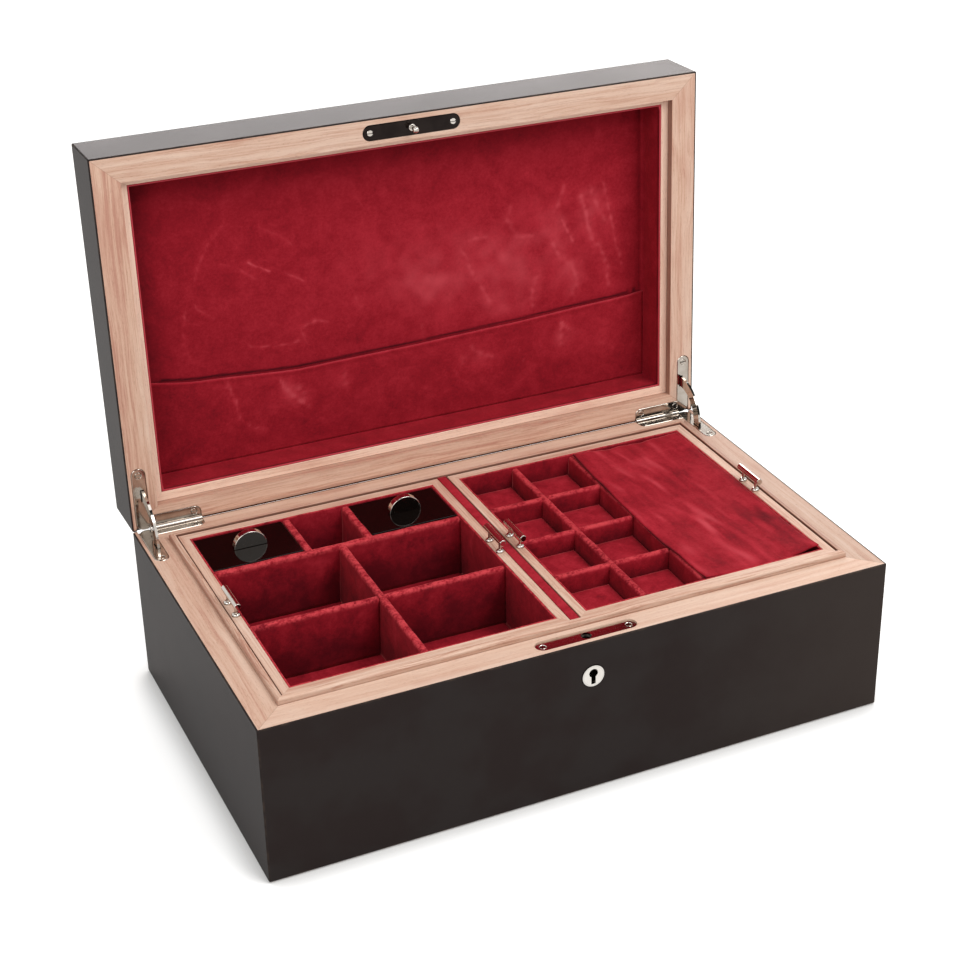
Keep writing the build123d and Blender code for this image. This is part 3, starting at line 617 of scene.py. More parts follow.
def softBoard(mesh, x0, x1, y0, y1, z0, z1, radius, seed, wobble=0.25, lean=(0.0, 0.0), step=1.6,
              rise=0.28):
    # a suede-covered board with a rounded top; lean shifts its top sideways at its two ends
    alongX = x1 - x0 > y1 - y0
    start, end = (x0, x1) if alongX else (y0, y1)
    near, far = (y0, y1) if alongX else (x0, x1)
    middle, half = (near + far) / 2, (far - near) / 2
    radius = min(radius, half)
    levels = spaced(z0, z1 - radius, 3.0)
    section = [(-half, z) for z in levels]
    for i in range(1, 8):
        angle = pi - pi * i / 8
        section.append((cos(angle) * radius + (half - radius) * (1 if angle < pi / 2 else -1),
                        z1 - radius + sin(angle) * radius))
    section += [(half, z) for z in reversed(levels)]
    rows = []
    for s in spaced(start, end, step):
        share = (s - start) / (end - start)
        drift = lean[0] + (lean[1] - lean[0]) * share
        row = []
        for v, z in section:
            high = soft((z - z0) / (z1 - z0))
            side = (wave(s, v * 2, z, 13.0, seed) * wobble
                    + wave(s, v * 3, z, 4.5, seed + 5) * wobble * 0.3)
            up = (wave(s, 0, 0, 17.0, seed + 9) + wave(s, v, 0, 5.0, seed + 3) * 0.35) * rise * high
            across = middle + v + (side * (0.4 if v * v < 0.2 else 1.0)) + drift * high
            row.append((s, across, z + up) if alongX else (across, s, z + up))
        rows.append(row)
    mesh.grid(rows, closed=True)


def softPad(mesh, x0, x1, y0, y1, z0, z1, crown, seed, step=2.0, edge=1.4):
    # a covered card: flat below, rounded edges, slightly higher in its middle
    columns, lines = spaced(x0, x1, step), spaced(y0, y1, step)
    thick = z1 - z0 - crown
    rows = []
    for y in lines:
        row = []
        for x in columns:
            inside = max(0.0, min(x - x0, x1 - x, y - y0, y1 - y))
            height = thick
            if inside < edge:
                height = thick * (1 - (1 - inside / edge) ** 2) ** 0.5
            dome = crown * soft(inside / 9.0) * (0.75 + 0.25 * wave(x, y, 0, 11.0, seed))
            ripple = 0.08 * wave(x, y, 0, 4.0, seed + 2) * soft(inside / 2.0)
            row.append((x, y, z0 + max(0.02, height) + dome + ripple))
        rows.append(row)
    wide, deep = len(columns), len(lines)
    mesh.grid(rows)
    rim = ([(0, c) for c in range(wide)] + [(r, wide - 1) for r in range(1, deep)]
           + [(deep - 1, c) for c in range(wide - 2, -1, -1)] + [(r, 0) for r in range(deep - 2, 0, -1)])
    base = len(mesh.points)
    top = base - wide * deep
    mesh.points += [(rows[r][c][0], rows[r][c][1], z0) for r, c in rim]
    above = [top + r * wide + c for r, c in rim]
    for i in range(len(rim)):
        j = (i + 1) % len(rim)
        mesh.faces.append((above[i], above[j], base + j, base + i))
    mesh.faces.append(tuple(range(base, base + len(rim))))


trayLayout = {
    "divider": 4.8,
    "dividerDrop": 1.6,     # below the tray's top
    "liddedCell": 57.8,
    "backRow": 41.9,
    "middleRow": 62.8,
    "cufflinkCell": 36.5,
    "cellRows": 4,
    "lining": 1.3,
    "ledge": 3.0,
    "wallBoard": 6.0,
    "rimDrop": 0.15,        # lining's rim below the tray's top
    "bury": 0.6,            # how far a board's end runs into its neighbour
    "deepRound": 1.9,       # roundness of the dividers' tops
    "cellRound": 2.2,
}


def trayInside(name):
    # lined inside of a tray and the heights of its floor and top
    low, high = boxOf(name + "_frame")
    wall = trayLayout["wallBoard"] + trayLayout["lining"]
    floor = boxOf(name + "_lining")[0][2] + trayLayout["lining"]
    return low[0] + wall, high[0] - wall, low[1] + wall, high[1] - wall, floor, high[2]


def shadeBelow(points, floor, top, depth):
    # painted shade, darker towards the floor
    return [-depth * soft(1.15 - 1.15 * (z - floor) / (top - floor)) for x, y, z in points]


def lineTray(name, material):
    # walls as four thin covered boards that stand on one suede floor
    x0, x1, y0, y1, floor, top = trayInside(name)
    thick = trayLayout["lining"]
    under = floor - thick
    mesh = Mesh()
    rim = top - trayLayout["rimDrop"]
    left, right, near, far = x0 - thick, x1 + thick, y0 - 0.3, y1 + 0.3
    boards = ((left, right, y0 - thick, y0), (left, right, y1, y1 + thick), (left, x0, near, far),
              (x1, right, near, far))
    for index, sides in enumerate(boards):
        softBoard(mesh, *sides, under, rim, radius=0.5, seed=3.0 + 2 * index, wobble=0.12)
    walls = len(mesh.points)
    softPad(mesh, x0 - 0.6, x1 + 0.6, y0 - 0.6, y1 + 0.6, under, floor + 0.25, 0.0, x0, 2.6)
    nap = shadeBelow(mesh.points[:walls], floor, top, 0.5) + [0.0] * (len(mesh.points) - walls)
    piece = makePiece(name + "Lining", mesh, material, name, nap=nap)
    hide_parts(name + "_lining")


def makeLeftTray():
    x0, x1, y0, y1, floor, top = trayInside("left_tray")
    p = trayLayout
    t, cell, bury, r = p["divider"], p["liddedCell"], p["bury"], p["deepRound"]
    backY = y1 - p["backRow"] - t
    middleY = backY - p["middleRow"] - t
    middleX = (x0 + x1) / 2
    nearX, farX = middleX - t / 2, middleX + t / 2
    high = top - p["dividerDrop"]
    lineTray("left_tray", makeSuede("suedeTrayWalls", topAt=top - 0.1, topDepth=1.0, frayAndLight=0.7))
    mesh = Mesh()
    boards = [
        # left, right, front and back, height above the common top, roundness, seed, lean
        (x0, x1, backY, backY + t, 0.5, 1.4, 11.0, (0.3, -0.3)),
        (x0 + cell, x0 + cell + t, backY + t - bury, y1, 0.4, 1.6, 13.0, (0.8, 0.6)),
        (x1 - cell - t, x1 - cell, backY + t - bury, y1, 0.4, 1.6, 15.0, (0.7, 0.4)),
        (nearX, farX, y0, backY + bury, 0.0, r, 17.0, (0.4, 1.4)),
        (x0, nearX + bury, middleY, middleY + t, 0.0, r, 19.0, (0.2, 0.0)),
        (farX - bury, x1, middleY, middleY + t, 0.0, r, 21.0, (0.0, -0.2)),
    ]
    for left, right, front, back, above, rounded, seed, lean in boards:
        softBoard(mesh, left, right, front, back, floor, high + above, rounded, seed, lean=lean)
    look = makeSuede("suedeDeepDividers", topAt=high, topDepth=3.2, frayAndLight=0.9)
    nap = shadeBelow(mesh.points, floor, high, 0.62)
    piece = makePiece("leftTrayDividers", mesh, look, "left_tray", nap=nap)
    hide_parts("left_tray_dividers")

    low, high = boxOf("small_lid_ledges")
    wide = p["ledge"]
    mesh = Mesh()
    for near, far in ((x0, x0 + cell), (x1 - cell, x1)):
        for a in (near, far - wide):
            softBoard(mesh, a, a + wide, low[1], high[1], low[2], high[2], 0.8, 23.0 + a, 0.1)
    piece = makePiece("smallLidLedges", mesh, makeSuede("suedeLedges"), "left_tray")
    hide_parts("small_lid_ledges")


def makeRightTray():
    x0, x1, y0, y1, floor, top = trayInside("right_tray")
    p = trayLayout
    t, cell, bury, r = p["divider"], p["cufflinkCell"], p["bury"], p["cellRound"]
    high = top - p["dividerDrop"]
    column = x0 + cell
    section = column + t + cell
    row = (y1 - y0 - (p["cellRows"] - 1) * t) / p["cellRows"]
    lineTray("right_tray", makeSuede("suedeCellWalls", topAt=top - 0.1, topDepth=1.0, frayAndLight=0.7))
    mesh = Mesh()
    softBoard(mesh, column, column + t, y0, y1, floor, high, r, 31.0, lean=(0.2, -0.2))
    softBoard(mesh, section, section + t, y0, y1, floor, high, r, 33.0, lean=(0.0, 0.2))
    places = []
    for index in range(p["cellRows"]):
        low = y0 + index * (row + t)
        for side, a in enumerate((x0, column + t)):
            if index < p["cellRows"] - 1:
                near = a if side == 0 else a - bury
                seed = 35.0 + index * 2 + side
                softBoard(mesh, near, a + cell + bury, low + row, low + row + t, floor, high, r, seed,
                          lean=(0.1, -0.1))
            places.append((a, a + cell, low, low + row))
    look = makeSuede("suedeCellDividers", topAt=high, topDepth=2.0, frayAndLight=0.8)
    nap = shadeBelow(mesh.points, floor, high, 0.45)
    piece = makePiece("rightTrayDividers", mesh, look, "right_tray", nap=nap)
    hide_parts("right_tray_dividers")

    pads = Mesh()
    padLow, padHigh = boxOf("cufflink_cell_pads")
    for index, (a, b, c, d) in enumerate(places):
        softPad(pads, a + 0.1, b - 0.1, c + 0.1, d - 0.1, padLow[2], padHigh[2] + 0.4, crown=1.0,
                seed=41.0 + index, step=1.3, edge=1.2)
    piece = makePiece("cufflinkPads", pads, makeSuede("suedePads", lift=0.04), "right_tray")
    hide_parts("cufflink_cell_pads")


makeLeftTray()
makeRightTray()
print("trays lined")


def makeBaseSoft():
    low, high = boxOf("centre_partition")
    mesh = Mesh()
    softBoard(mesh, low[0] - 0.1, high[0] + 0.1, low[1], high[1], low[2], high[2] + 0.4, radius=0.6,
              seed=51.0, wobble=0.1, step=2.0, rise=0.1)
    piece = makePiece("centrePartition", mesh, makeSuede("suedePartition", lift=0.08), "base")
    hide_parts("centre_partition")

    suede = makeSuede("suedeFloor")
    fLow, fHigh = boxOf("base_floor_suede")
    for side, x0, x1 in (("Left", fLow[0], low[0]), ("Right", high[0], fHigh[0])):
        mesh = Mesh()
        softPad(mesh, x0 + 0.2, x1 - 0.2, fLow[1] + 0.2, fHigh[1] - 0.2, fLow[2], fHigh[2],
                crown=0.15, seed=x0, step=4.0, edge=1.0)
        piece = makePiece("floorSuede" + side, mesh, suede, "base")
        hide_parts("base_floor_suede")

    low, high = boxOf("base_baize")
    mesh = Mesh()
    # drawn upside down, since its rounded side is the lower one
    softPad(mesh, low[0], high[0], low[1], high[1], -high[2], -low[2], crown=0.0, seed=61.0, step=4.0,
            edge=0.5)
    mesh.points = [(x, y, -z) for x, y, z in mesh.points]
    piece = makePiece("baizePad", mesh, makeBaize(), "base")
    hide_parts("base_baize")


makeBaseSoft()
print("base lined")


lidSuede = {
    # millimetres on the shut lid
    "linerBoard": 4.8,      # width of the liner boards at the ends
    "front": -99.7,         # the boards' inner faces
    "back": 99.8,
    "edge": 108.3,          # height of the lining's open edge
    "panel": 132.5,         # height of the covered panel
    "puff": 0.5,
    "wallSuede": 0.8,
    "gridStep": 1.1,
    # the pocket's open edge, as x and y
    "pocketEdge": [(-177.0, 35.0), (-140.0, 39.8), (-75.0, 44.4), (-6.0, 43.4), (66.0, 41.5),
                   (142.0, 38.2), (177.0, 36.6)],
    "pocketHalf": 176.4,
    "pocketBack": 98.4,
    "pocketThickness": 0.8,
    "hem": 1.0,
}


# brushed-up marks as width, strength and points, patches as middle, half sizes, slant and strength, with
# painted shade where the strength is below 0, in millimetres on the shut lid; shades: painted shade
# along each side of the panel as side, width and depth
liningNapAndShade = {
    "marks": [
        (1.6, 0.45, [(-115, -60), (-123, -51), (-130, -41), (-135, -31), (-139, -21), (-138, -7),
                     (-126, 1)]),
        (1.4, 0.35, [(-144, -9), (-147, 2), (-148, 13)]),
        (1.2, 0.35, [(-146, -4), (-142, 2), (-136, 4)]),
        (1.0, 0.80, [(-102, -31), (-97, -28), (-88, -23)]),
        (1.0, 0.60, [(-78, -21), (-72, -17), (-66, -12)]),
        (1.4, 0.40, [(-120, -34), (-107, -28), (-99, -21), (-94, -20)]),
        (1.6, 0.35, [(-92, -54), (-84, -48), (-76, -42), (-71, -36)]),
        (1.4, 0.50, [(-108, 20), (-105, 25), (-95, 26), (-85, 27), (-73, 27)]),
        (1.5, 0.60, [(-53, 17), (-60, 15), (-66, 16), (-71, 19), (-69, 24), (-68, 30)]),
        (1.3, 0.40, [(-146, 20), (-145, 25), (-140, 29)]),
        (1.5, 0.35, [(-33, 4), (-30, 12), (-30, 17)]),
        (1.5, 0.30, [(-29, -63), (-23, -54)]),
        (1.5, 0.30, [(-60, -77), (-54, -79), (-46, -80)]),
        (2.6, 0.60, [(130, -38), (134, -25), (136, -11), (144, 1), (149, 12), (151, 29)]),
        (1.8, 0.50, [(146, -46), (151, -27), (153, -15), (156, -1), (161, 16)]),
        (1.4, 0.60, [(116, -23), (120, -15), (123, -9)]),
        (2.6, 0.50, [(108, -8), (114, 1), (122, 9), (127, 22), (123, 29)]),
        (2.6, 0.40, [(118, -48), (115, -40), (111, -31)]),
        (2.4, 0.40, [(96, 13), (92, 24), (92, 33)]),
        (2.2, 0.35, [(42, -15), (47, -4), (53, 9), (61, 23)]),
        (2.8, 0.35, [(78, -39), (76, -30), (83, -17), (94, -16)]),
        (2.2, 0.30, [(46, -21), (54, -22), (63, -22)]),
        (2.8, 0.40, [(137, -44), (143, -29), (148, -19)]),
        (2.0, 0.30, [(12, 30), (13, 42)]),
    ],
    "patches": [
        (10, 0, 60, 34, 0.2, 0.28), (20, 3, 18, 14, 0.3, 0.35), (75, 0, 24, 16, 0.5, 0.35),
        (107, -22, 16, 10, 0.8, 0.30), (140, -29, 12, 16, 0.3, 0.25), (71, 30, 18, 10, 0.0, 0.28),
        (36, -30, 26, 12, 0.2, 0.15), (123, 14, 14, 14, 0.6, 0.25), (91, -44, 14, 10, 0.0, 0.15),
        (100, -5, 70, 45, 0.0, 0.22), (-95, 0, 30, 20, 0.3, 0.12), (-30, -30, 40, 30, 0.0, 0.12),
    ],
    "shades": [("left", 26.0, 0.50), ("right", 9.0, 0.45), ("top", 26.0, 0.30), ("bottom", 6.0, 0.1)],
    "pocketMarks": [
        (1.5, 0.60, [(-123, 43), (-119, 58), (-117, 71), (-110, 77), (-102, 82)]),
        (2.4, 0.60, [(-89, 48), (-85, 56), (-77, 66), (-71, 71)]),
        (3.0, 0.40, [(-77, 56), (-72, 63)]),
        (1.8, 0.45, [(-44, 51), (-44, 61), (-40, 61)]),
        (1.8, 0.40, [(-13, 66), (-6, 64), (-1, 69), (17, 78)]),
        (1.6, 0.45, [(80, 61), (84, 71)]),
        (3.0, 0.50, [(113, 49), (112, 62)]),
        (1.2, 0.50, [(113, 48), (120, 54)]),
        (3.4, 0.40, [(46, 54), (60, 63)]),
        (1.4, 0.50, [(40, 59), (39, 63)]),
        (1.6, 0.35, [(32, 65), (36, 73), (42, 79)]),
        (1.8, 0.35, [(141, 67), (153, 74)]),
        (2.2, 0.35, [(-66, 80), (-53, 87)]),
        (2.0, 0.30, [(-141, 42), (-124, 48)]),
    ],
    "pocketPatches": [
        (-80, 60, 12, 12, 0.0, 0.30), (-46, 60, 9, 7, 0.0, 0.25), (50, 62, 16, 10, 0.4, 0.25),
        (112, 60, 12, 12, 0.0, 0.25), (140, 56, 22, 14, 0.0, 0.20), (-150, 66, 24, 30, 0.0, -0.15),
        (0, 84, 60, 10, 0.0, -0.10),
    ],
}


def napAt(x, y, marks, patches):
    total = 0.0
    for midX, midY, reachX, reachY, slant, strength in patches:
        dx, dy = x - midX, y - midY
        u, v = (dx * cos(slant) + dy * sin(slant)) / reachX, (dy * cos(slant) - dx * sin(slant)) / reachY
        if u * u + v * v < 6:
            total += strength * exp(-u * u - v * v) * (1 + 0.5 * wave(x, y, 0, 9.0, 107.0))
    for width, strength, line in marks:
        if min(abs(x - a) + abs(y - b) for a, b in line) > 22:
            continue
        px = x + wave(x, y, 0, 8.0, 103.0) * 1.3
        py = y + wave(x, y, 0, 8.0, 105.0) * 1.3
        near = min(toSegment(px, py, start, end) for start, end in zip(line, line[1:]))
        stroke = 0.5 * exp(-(near / (width * 0.55)) ** 2) + 0.3 * exp(-(near / (width * 2.2)) ** 2)
        total += strength * stroke * (0.9 + 1.1 * wave(x, y, 0, 3.5, 109.0))
    return total


def toSegment(x, y, start, end):
    dx, dy = end[0] - start[0], end[1] - start[1]
    share = ((x - start[0]) * dx + (y - start[1]) * dy) / (dx * dx + dy * dy)
    share = min(max(share, 0.0), 1.0)
    return hypot(x - start[0] - dx * share, y - start[1] - dy * share)


def between(points, x):
    # smooth curve through the listed points
    for (xa, ya), (xb, yb) in zip(points, points[1:]):
        if x <= xb:
            t = (x - xa) / (xb - xa)
            return ya + (yb - ya) * (t * 0.6 + soft(t) * 0.4)
    return points[-1][1]


def makeLidLining():
    low, high = boxOf("lid_liner_boards")
    s = lidSuede
    x0, x1, y0, y1 = low[0] + s["linerBoard"], high[0] - s["linerBoard"], s["front"], s["back"]
    edge, panel, face, puff = s["edge"], s["panel"], s["wallSuede"], s["puff"]
    # section of a wall from its rolled edge to the panel: inset from the liner and height
    section = [(0.05, edge + 0.9), (0.02, edge + 0.45), (0.25, edge + 0.1), (0.7, edge),
               (1.15, edge + 0.25), (1.2, edge + 0.8), (face + 0.1, edge + 1.6)]
    section += [(face + 0.35 * sin(pi * soft(t)), edge + 1.6 + (panel - 2.4 - edge) * t) for t in
                (0.12, 0.25, 0.4, 0.55, 0.7, 0.85)]
    section += [(face + 0.25, panel - 0.7), (face + 0.7, panel - 0.15), (face + 1.4, panel)]
    onPanel = (2.4, 3.6, 5.0, 7.0, 9.5, 13.0)
    section += [(face + d, panel - puff * soft((d - 1.0) / 9.0)) for d in onPanel]
    mesh = Mesh()
    rows = []
    for inset, z in section:
        a, b, c, d = x0 + inset, x1 - inset, y0 + inset, y1 - inset
        across, along = spaced(a, b, 4.0), spaced(c, d, 4.0)
        ring = ([(x, c) for x in across[:-1]] + [(b, y) for y in along[:-1]]
                + [(x, d) for x in reversed(across[1:])] + [(a, y) for y in reversed(along[1:])])
        row = []
        for x, y in ring:
            inward = wave(x, y, z, 30.0, 71.0) * 0.22 * soft((z - edge) / 4.0)
            up = wave(x, y, 0, 36.0, 75.0) * 0.18 if z > panel - 1.0 else 0.0
            if min(abs(x - a), abs(b - x)) < 0.01:
                row.append((x - inward if x > 0 else x + inward, y, z + up))
            else:
                row.append((x, y - inward if y > 0 else y + inward, z + up))
        rows.append(row)
    # all rings get as many points as the first one, and each is closed
    count = len(rows[0])
    mesh.grid([resample(row, count) for row in rows])
    for r in range(len(rows) - 1):
        a = r * count
        mesh.faces.append((a + count - 1, a, a + count, a + 2 * count - 1))
    # middle of the panel
    inset = section[-1][0]
    a, b, c, d = x0 + inset, x1 - inset, y0 + inset, y1 - inset
    grid = []
    for y in spaced(c - 0.3, d + 0.3, s["gridStep"]):
        row = []
        for x in spaced(a - 0.3, b + 0.3, s["gridStep"]):
            inside = min(x - a, b - x, y - c, d - y)
            swell = wave(x, y, 0, 60.0, 77.0) * 0.25 * soft(inside / 20.0)
            row.append((x, y, panel - puff - 0.02 + wave(x, y, 0, 36.0, 75.0) * 0.18 + swell))
        grid.append(row)
    mesh.grid(grid)
    # shading of the section's first points, round the rolled edge: painted highlight on its front and
    # painted shade beside it
    rolled = (-1.0, -0.6, 0.7, 1.3, 1.1, -0.5, -0.7)
    nap = []
    for index, (x, y, z) in enumerate(mesh.points):
        row = index // count
        if row < len(rolled):
            nap.append(rolled[row] + 0.3 * wave(x, y, 0, 7.0, 111.0))
        elif row < len(section) - len(onPanel):
            # painted shade on the left wall
            onLeft = soft((x0 + 3.0 - x) / 2.0)
            nap.append(-0.25 * onLeft + 0.2 * wave(x, y, z, 14.0, 113.0))
        else:
            shade = napAt(x, y, liningNapAndShade["marks"], liningNapAndShade["patches"])
            # painted shade along each side of the panel
            for side, width, depth in liningNapAndShade["shades"]:
                away = {"left": x - x0, "right": x1 - x, "top": y - y0, "bottom": y1 - y}[side]
                shade -= depth * (1 - soft(away / width))
            # painted shadow line just beside the pocket's open edge
            shade -= 0.9 * exp(-((y - between(s["pocketEdge"], x) + 1.0) / 0.9) ** 2)
            nap.append(shade)
    look = makeSuede("suedeLidLining", turned=True, mottle=0.5, lift=0.01)
    piece = makePiece("lidLining", mesh, look, "lid", turned=True, nap=nap)
    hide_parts("lid_lining")


def thicken(piece, thickness):
    skin = piece.modifiers.new("thickness", "SOLIDIFY")
    skin.thickness = thickness * mm
    skin.offset = 0.0


def resample(row, count):
    # the same closed ring with another number of points
    total = 0.0
    marks = [0.0]
    ring = row + [row[0]]
    for p, q in zip(ring, ring[1:]):
        total += hypot(q[0] - p[0], q[1] - p[1])
        marks.append(total)
    out = []
    i = 0
    for k in range(count):
        want = total * k / count
        while marks[i + 1] < want:
            i += 1
        t = (want - marks[i]) / max(marks[i + 1] - marks[i], 1e-9)
        p, q = ring[i], ring[i + 1]
        out.append(tuple(p[j] + (q[j] - p[j]) * t for j in range(3)))
    return out


def makePocket():
    s = lidSuede
    x0, x1, back, panel = -s["pocketHalf"], s["pocketHalf"], s["pocketBack"], s["panel"]
    rows = []
    for i in range(43):
        v = i / 42
        row = []
        for x in spaced(x0, x1, 1.5):
            edge = between(s["pocketEdge"], x)
            y = back + (edge - back) * v
            fromSide = min(x - x0, x1 - x)
            belly = 1.6 * soft(fromSide / 30.0) * sin(pi * min(1.0, v * 0.75))
            gape = soft(fromSide / 12.0) * v ** 3
            crumple = wave(x, y, 0, 24.0, 81.0) * 0.45 + wave(x, y, 0, 9.0, 83.0) * 0.15
            crumple *= soft(v * 5) * soft(fromSide / 14.0)
            hem = 0.35 * exp(-((y - edge - s["hem"]) / 0.9) ** 2)
            seam = 0.2 * exp(-((y - edge - 4.0) / 0.5) ** 2)
            row.append((x, y, panel - 0.9 - belly - gape - crumple - hem + seam))
        rows.append(row)
    mesh = Mesh()
    mesh.grid(rows)
    nap = []
    # brushed-up marks and patches, painted highlight along the hem, and painted shade towards the left
    # end and where a patch's strength is below 0
    for x, y, z in mesh.points:
        hem = 0.5 * exp(-((y - between(s["pocketEdge"], x)) / 0.7) ** 2)
        nap.append(napAt(x, y, liningNapAndShade["pocketMarks"], liningNapAndShade["pocketPatches"]) + hem
                   - 0.2 * soft((x0 + 40.0 - x) / 40.0))
    look = makeSuede("suedePocket", turned=True, mottle=0.6, lift=0.015)
    piece = makePiece("lidPocket", mesh, look, "lid", turned=True, nap=nap)
    thicken(piece, s["pocketThickness"])
    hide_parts("lid_pocket")


makeLidLining()
makePocket()
print("lid lined")


coverShape = {
    # millimetres
    "thickness": 1.0,
    # the free edge, as y and x
    "leftEdge": [(-91.0, 90.2), (-59.0, 89.6), (-41.0, 87.4), (2.0, 88.0), (47.0, 89.3), (91.0, 90.8)],
    "sag": 1.2,
    "sagFrom": 92.8,        # x where it leaves the divider
    "cornerLift": 2.6,      # front right corner
}


def makeCover():
    low, high = boxOf("suede_cover")
    rows = []
    nap = []
    s = coverShape
    start, end = low[1] + 0.6, high[1] - 0.6
    for j in range(113):
        v = j / 112
        row = []
        for i in range(61):
            u = i / 60
            y = start + (end - start) * v
            left = between(s["leftEdge"], y)
            x = left + (high[0] - 0.3 - left) * u
            bend = x + y * 0.12 + 3.0 * wave(x, y, 0, 28.0, 119.0)
            # the back edge wanders and lifts
            nearBack = exp(-(end - y) / 7.0)
            y -= nearBack * (1.1 + 1.3 * wave(x, 0, 0, 12.0, 97.0) + 0.5 * wave(x, 0, 0, 4.0, 99.0))
            z = low[2] + 0.9 + wave(x, y, 0, 34.0, 93.0) * 0.5 + wave(bend, y * 0.2, 0, 8.0, 95.0) * 0.45
            z += wave(bend, y * 0.2, 0, 3.5, 101.0) * 0.16 + 1.1 * nearBack * wave(x, 0, 0, 11.0, 91.0)
            sag = soft((x - s["sagFrom"]) / 25.0) * soft((high[0] - x) / 25.0) * s["sag"]
            corner = exp(-((high[0] - x) ** 2 + (y - low[1]) ** 2) / 190.0) * s["cornerLift"]
            row.append((x, y, z - sag + corner))
            # brushed ripples, darker towards the right and the front, and a painted shadow line along
            # the free left edge
            ripple = 0.9 * max(0.0, wave(bend, y * 0.16, 0, 5.0, 115.0))
            ripple += 0.4 * wave(x, y, 0, 24.0, 117.0)
            nap.append(ripple - 0.35 * soft(u * 1.3 - 0.35) * soft(1.2 - v) - 0.9 * exp(-u * 60))
        rows.append(row)
    mesh = Mesh()
    mesh.grid(rows)
    look = makeSuede("suedeCover", brushed=0.25, lift=0.03, mottle=0.6)
    piece = makePiece("suedeCoverSheet", mesh, look, "suede_cover", nap=nap)
    thicken(piece, s["thickness"])
    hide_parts("suede_cover")


makeCover()
print("cover laid")


studio = {
    "floor": "#dddcda",
    "glow": 0.62,         # white added to the floor as seen, less in the contact shadow
    "contact": 23.0,      # reach of the contact shadow in millimetres
    "ambient": 0.5,       # the world's light on the object, where what is seen of it is 1
    "cards": "#2a2a2a",
    "reach": 6000.0,      # half the floor's size
}

cameraPlace = {
    "azimuth": 26.222,
    "elevation": 27.763,
    "place": (-444.99, -980.53, 715.79),
    "imageSize": 960,
    "focalLength": 2012.8,    # in pixels
    "middleColumn": 560,      # pixel column that the camera points at
    "sensor": 36.0,
}


def aim(thing, place, ahead):
    thing.location = place
    thing.rotation_mode = "QUATERNION"
    thing.rotation_quaternion = ahead.to_track_quat("-Z", "Y")


def makeCamera():
    c = cameraPlace
    data = bpy.data.cameras.new("camera")
    camera = addObject("camera", data)
    azimuth, elevation = radians(c["azimuth"]), radians(c["elevation"])
    ahead = Vector((sin(azimuth) * cos(elevation), cos(azimuth) * cos(elevation), -sin(elevation)))
    aim(camera, Vector(c["place"]) * mm, ahead)
    data.sensor_width = c["sensor"]
    data.lens = c["focalLength"] / c["imageSize"] * c["sensor"]
    data.shift_x = 0.5 - c["middleColumn"] / c["imageSize"]
    data.clip_start = 0.05
    data.clip_end = 50.0
    bpy.context.scene.camera = camera


def seenShare(look, shiny):
    # 1 for what the camera sees, shiny for what metal, gloss and glass show
    camera, glossy, passing = [look.node("ShaderNodeLightPath", output=i) for i in (0, 3, 6)]
    return (camera + (glossy + passing) * shiny).maths("MINIMUM", 1.0)


def flatPiece(name, low, high, material):
    # low and high: opposite corners in millimetres
    corners = [low, (high[0], low[1], low[2]), high, (low[0], high[1], high[2])]
    data = bpy.data.meshes.new(name)
    data.from_pydata([Vector(p) * mm for p in corners], [], [(0, 1, 2, 3)])
    data.materials.append(material)
    piece = addObject(name, data)
    return piece


def makeFloor():
    r = studio["reach"]
    look = Look("paleFloor", {"Base Color": studio["floor"], "Roughness": 0.9,
                              "Specular IOR Level": 0.0, "Emission Strength": 1.0})
    inputs = {"Distance": studio["contact"] * mm}
    clear = look.node("ShaderNodeAmbientOcclusion", {"samples": 12}, inputs, output=1).fade(0.42, 0.97)
    # the floor's own light already makes shiny surfaces show it nearly white
    glow = seenShare(look, 0.35) * (clear * 0.8 + 0.2) * studio["glow"]
    look.feed(look.surface.inputs["Emission Color"], look.grey(glow))
    flatPiece("floor", (-r, -r, 0.0), (r, r, 0.0), look.material)


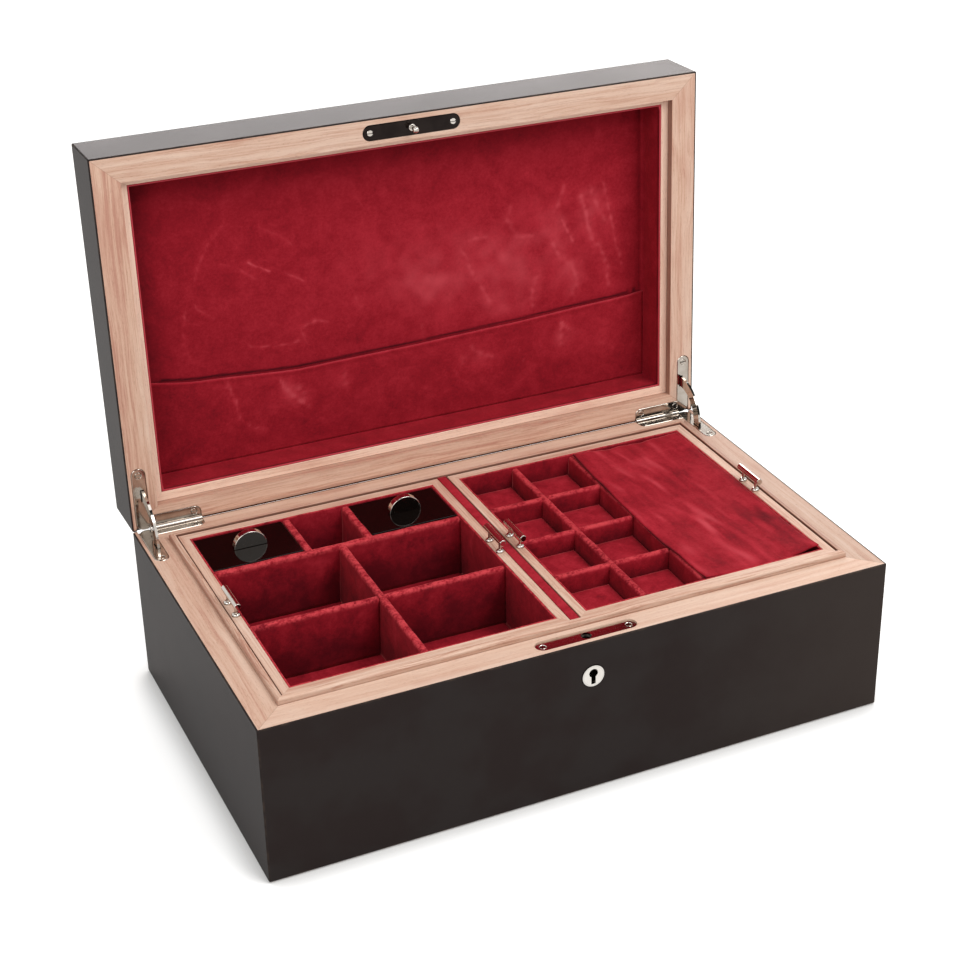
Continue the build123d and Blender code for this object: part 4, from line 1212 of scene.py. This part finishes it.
def makeWorld():
    world = bpy.data.worlds.new("studioWorld")
    bpy.context.scene.world = world
    look = Look("studioWorld", {}, world)
    amount = studio["ambient"]
    light = seenShare(look, 1.0) * (1.0 - amount) + amount
    look.feed(look.surface.inputs["Color"], look.grey(light))


darkCards = {
    # opposite corners in millimetres
    "flagCard": ((400.0, -1400.0, 330.0), (1700.0, -1400.0, 1250.0)),
    "ceilingCard": ((-1700.0, -1400.0, 2600.0), (1700.0, 1300.0, 2600.0)),
}


def makeDarkCards():
    # beside the key light and overhead, for contrast in what the shiny surfaces show
    look = Look("flagCloth", {"Base Color": "#000000", "Specular IOR Level": 0.0,
                              "Emission Color": studio["cards"], "Emission Strength": 1.0})
    for name, (low, high) in darkCards.items():
        card = flatPiece(name, low, high, look.material)
        card.visible_camera = card.visible_diffuse = False
        card.visible_shadow = card.visible_transmission = False


lamps = {
    # place and target in metres, size, watts, colour
    "keySoftbox": ((0.75, -1.15, 1.75), (0.0, 0.0, 0.1), (1.2, 1.2), 22.5, (1.0, 1.0, 1.0)),
    "fillSoftbox": ((-1.3, -0.9, 1.3), (0.0, 0.0, 0.1), (1.0, 1.0), 7.0, (1.0, 1.0, 1.0)),
    "topSoftbox": ((0.0, 0.2, 2.1), (0.0, 0.0, 0.1), (1.4, 1.0), 7.0, (1.0, 1.0, 1.0)),
    "backSoftbox": ((0.9, 2.1, 1.75), (0.0, 0.12, 0.3), (1.4, 0.5), 17.0, (1.0, 0.90, 0.86)),
    # a low strip behind, for the sheen along the open lid's top
    "rimStrip": ((0.82, 2.1, 0.80), (0.0, 0.12, 0.36), (1.5, 0.4), 11.5, (1.0, 0.95, 0.94)),
}
shinyOnly = ["rimStrip"]    # lamps that only shiny surfaces see


def addLamp(name, place, target, size, watts, colour):
    data = bpy.data.lights.new(name, "AREA")
    data.shape = "RECTANGLE"
    data.size, data.size_y = size
    data.energy = watts
    data.color = colour
    lamp = addObject(name, data)
    aim(lamp, place, Vector(target) - Vector(place))
    lamp.visible_diffuse = name not in shinyOnly


makeCamera()
makeFloor()
makeWorld()
makeDarkCards()
for name, values in lamps.items():
    addLamp(name, *values)
bpy.context.scene.view_settings.view_transform = "Standard"
print("studio set")
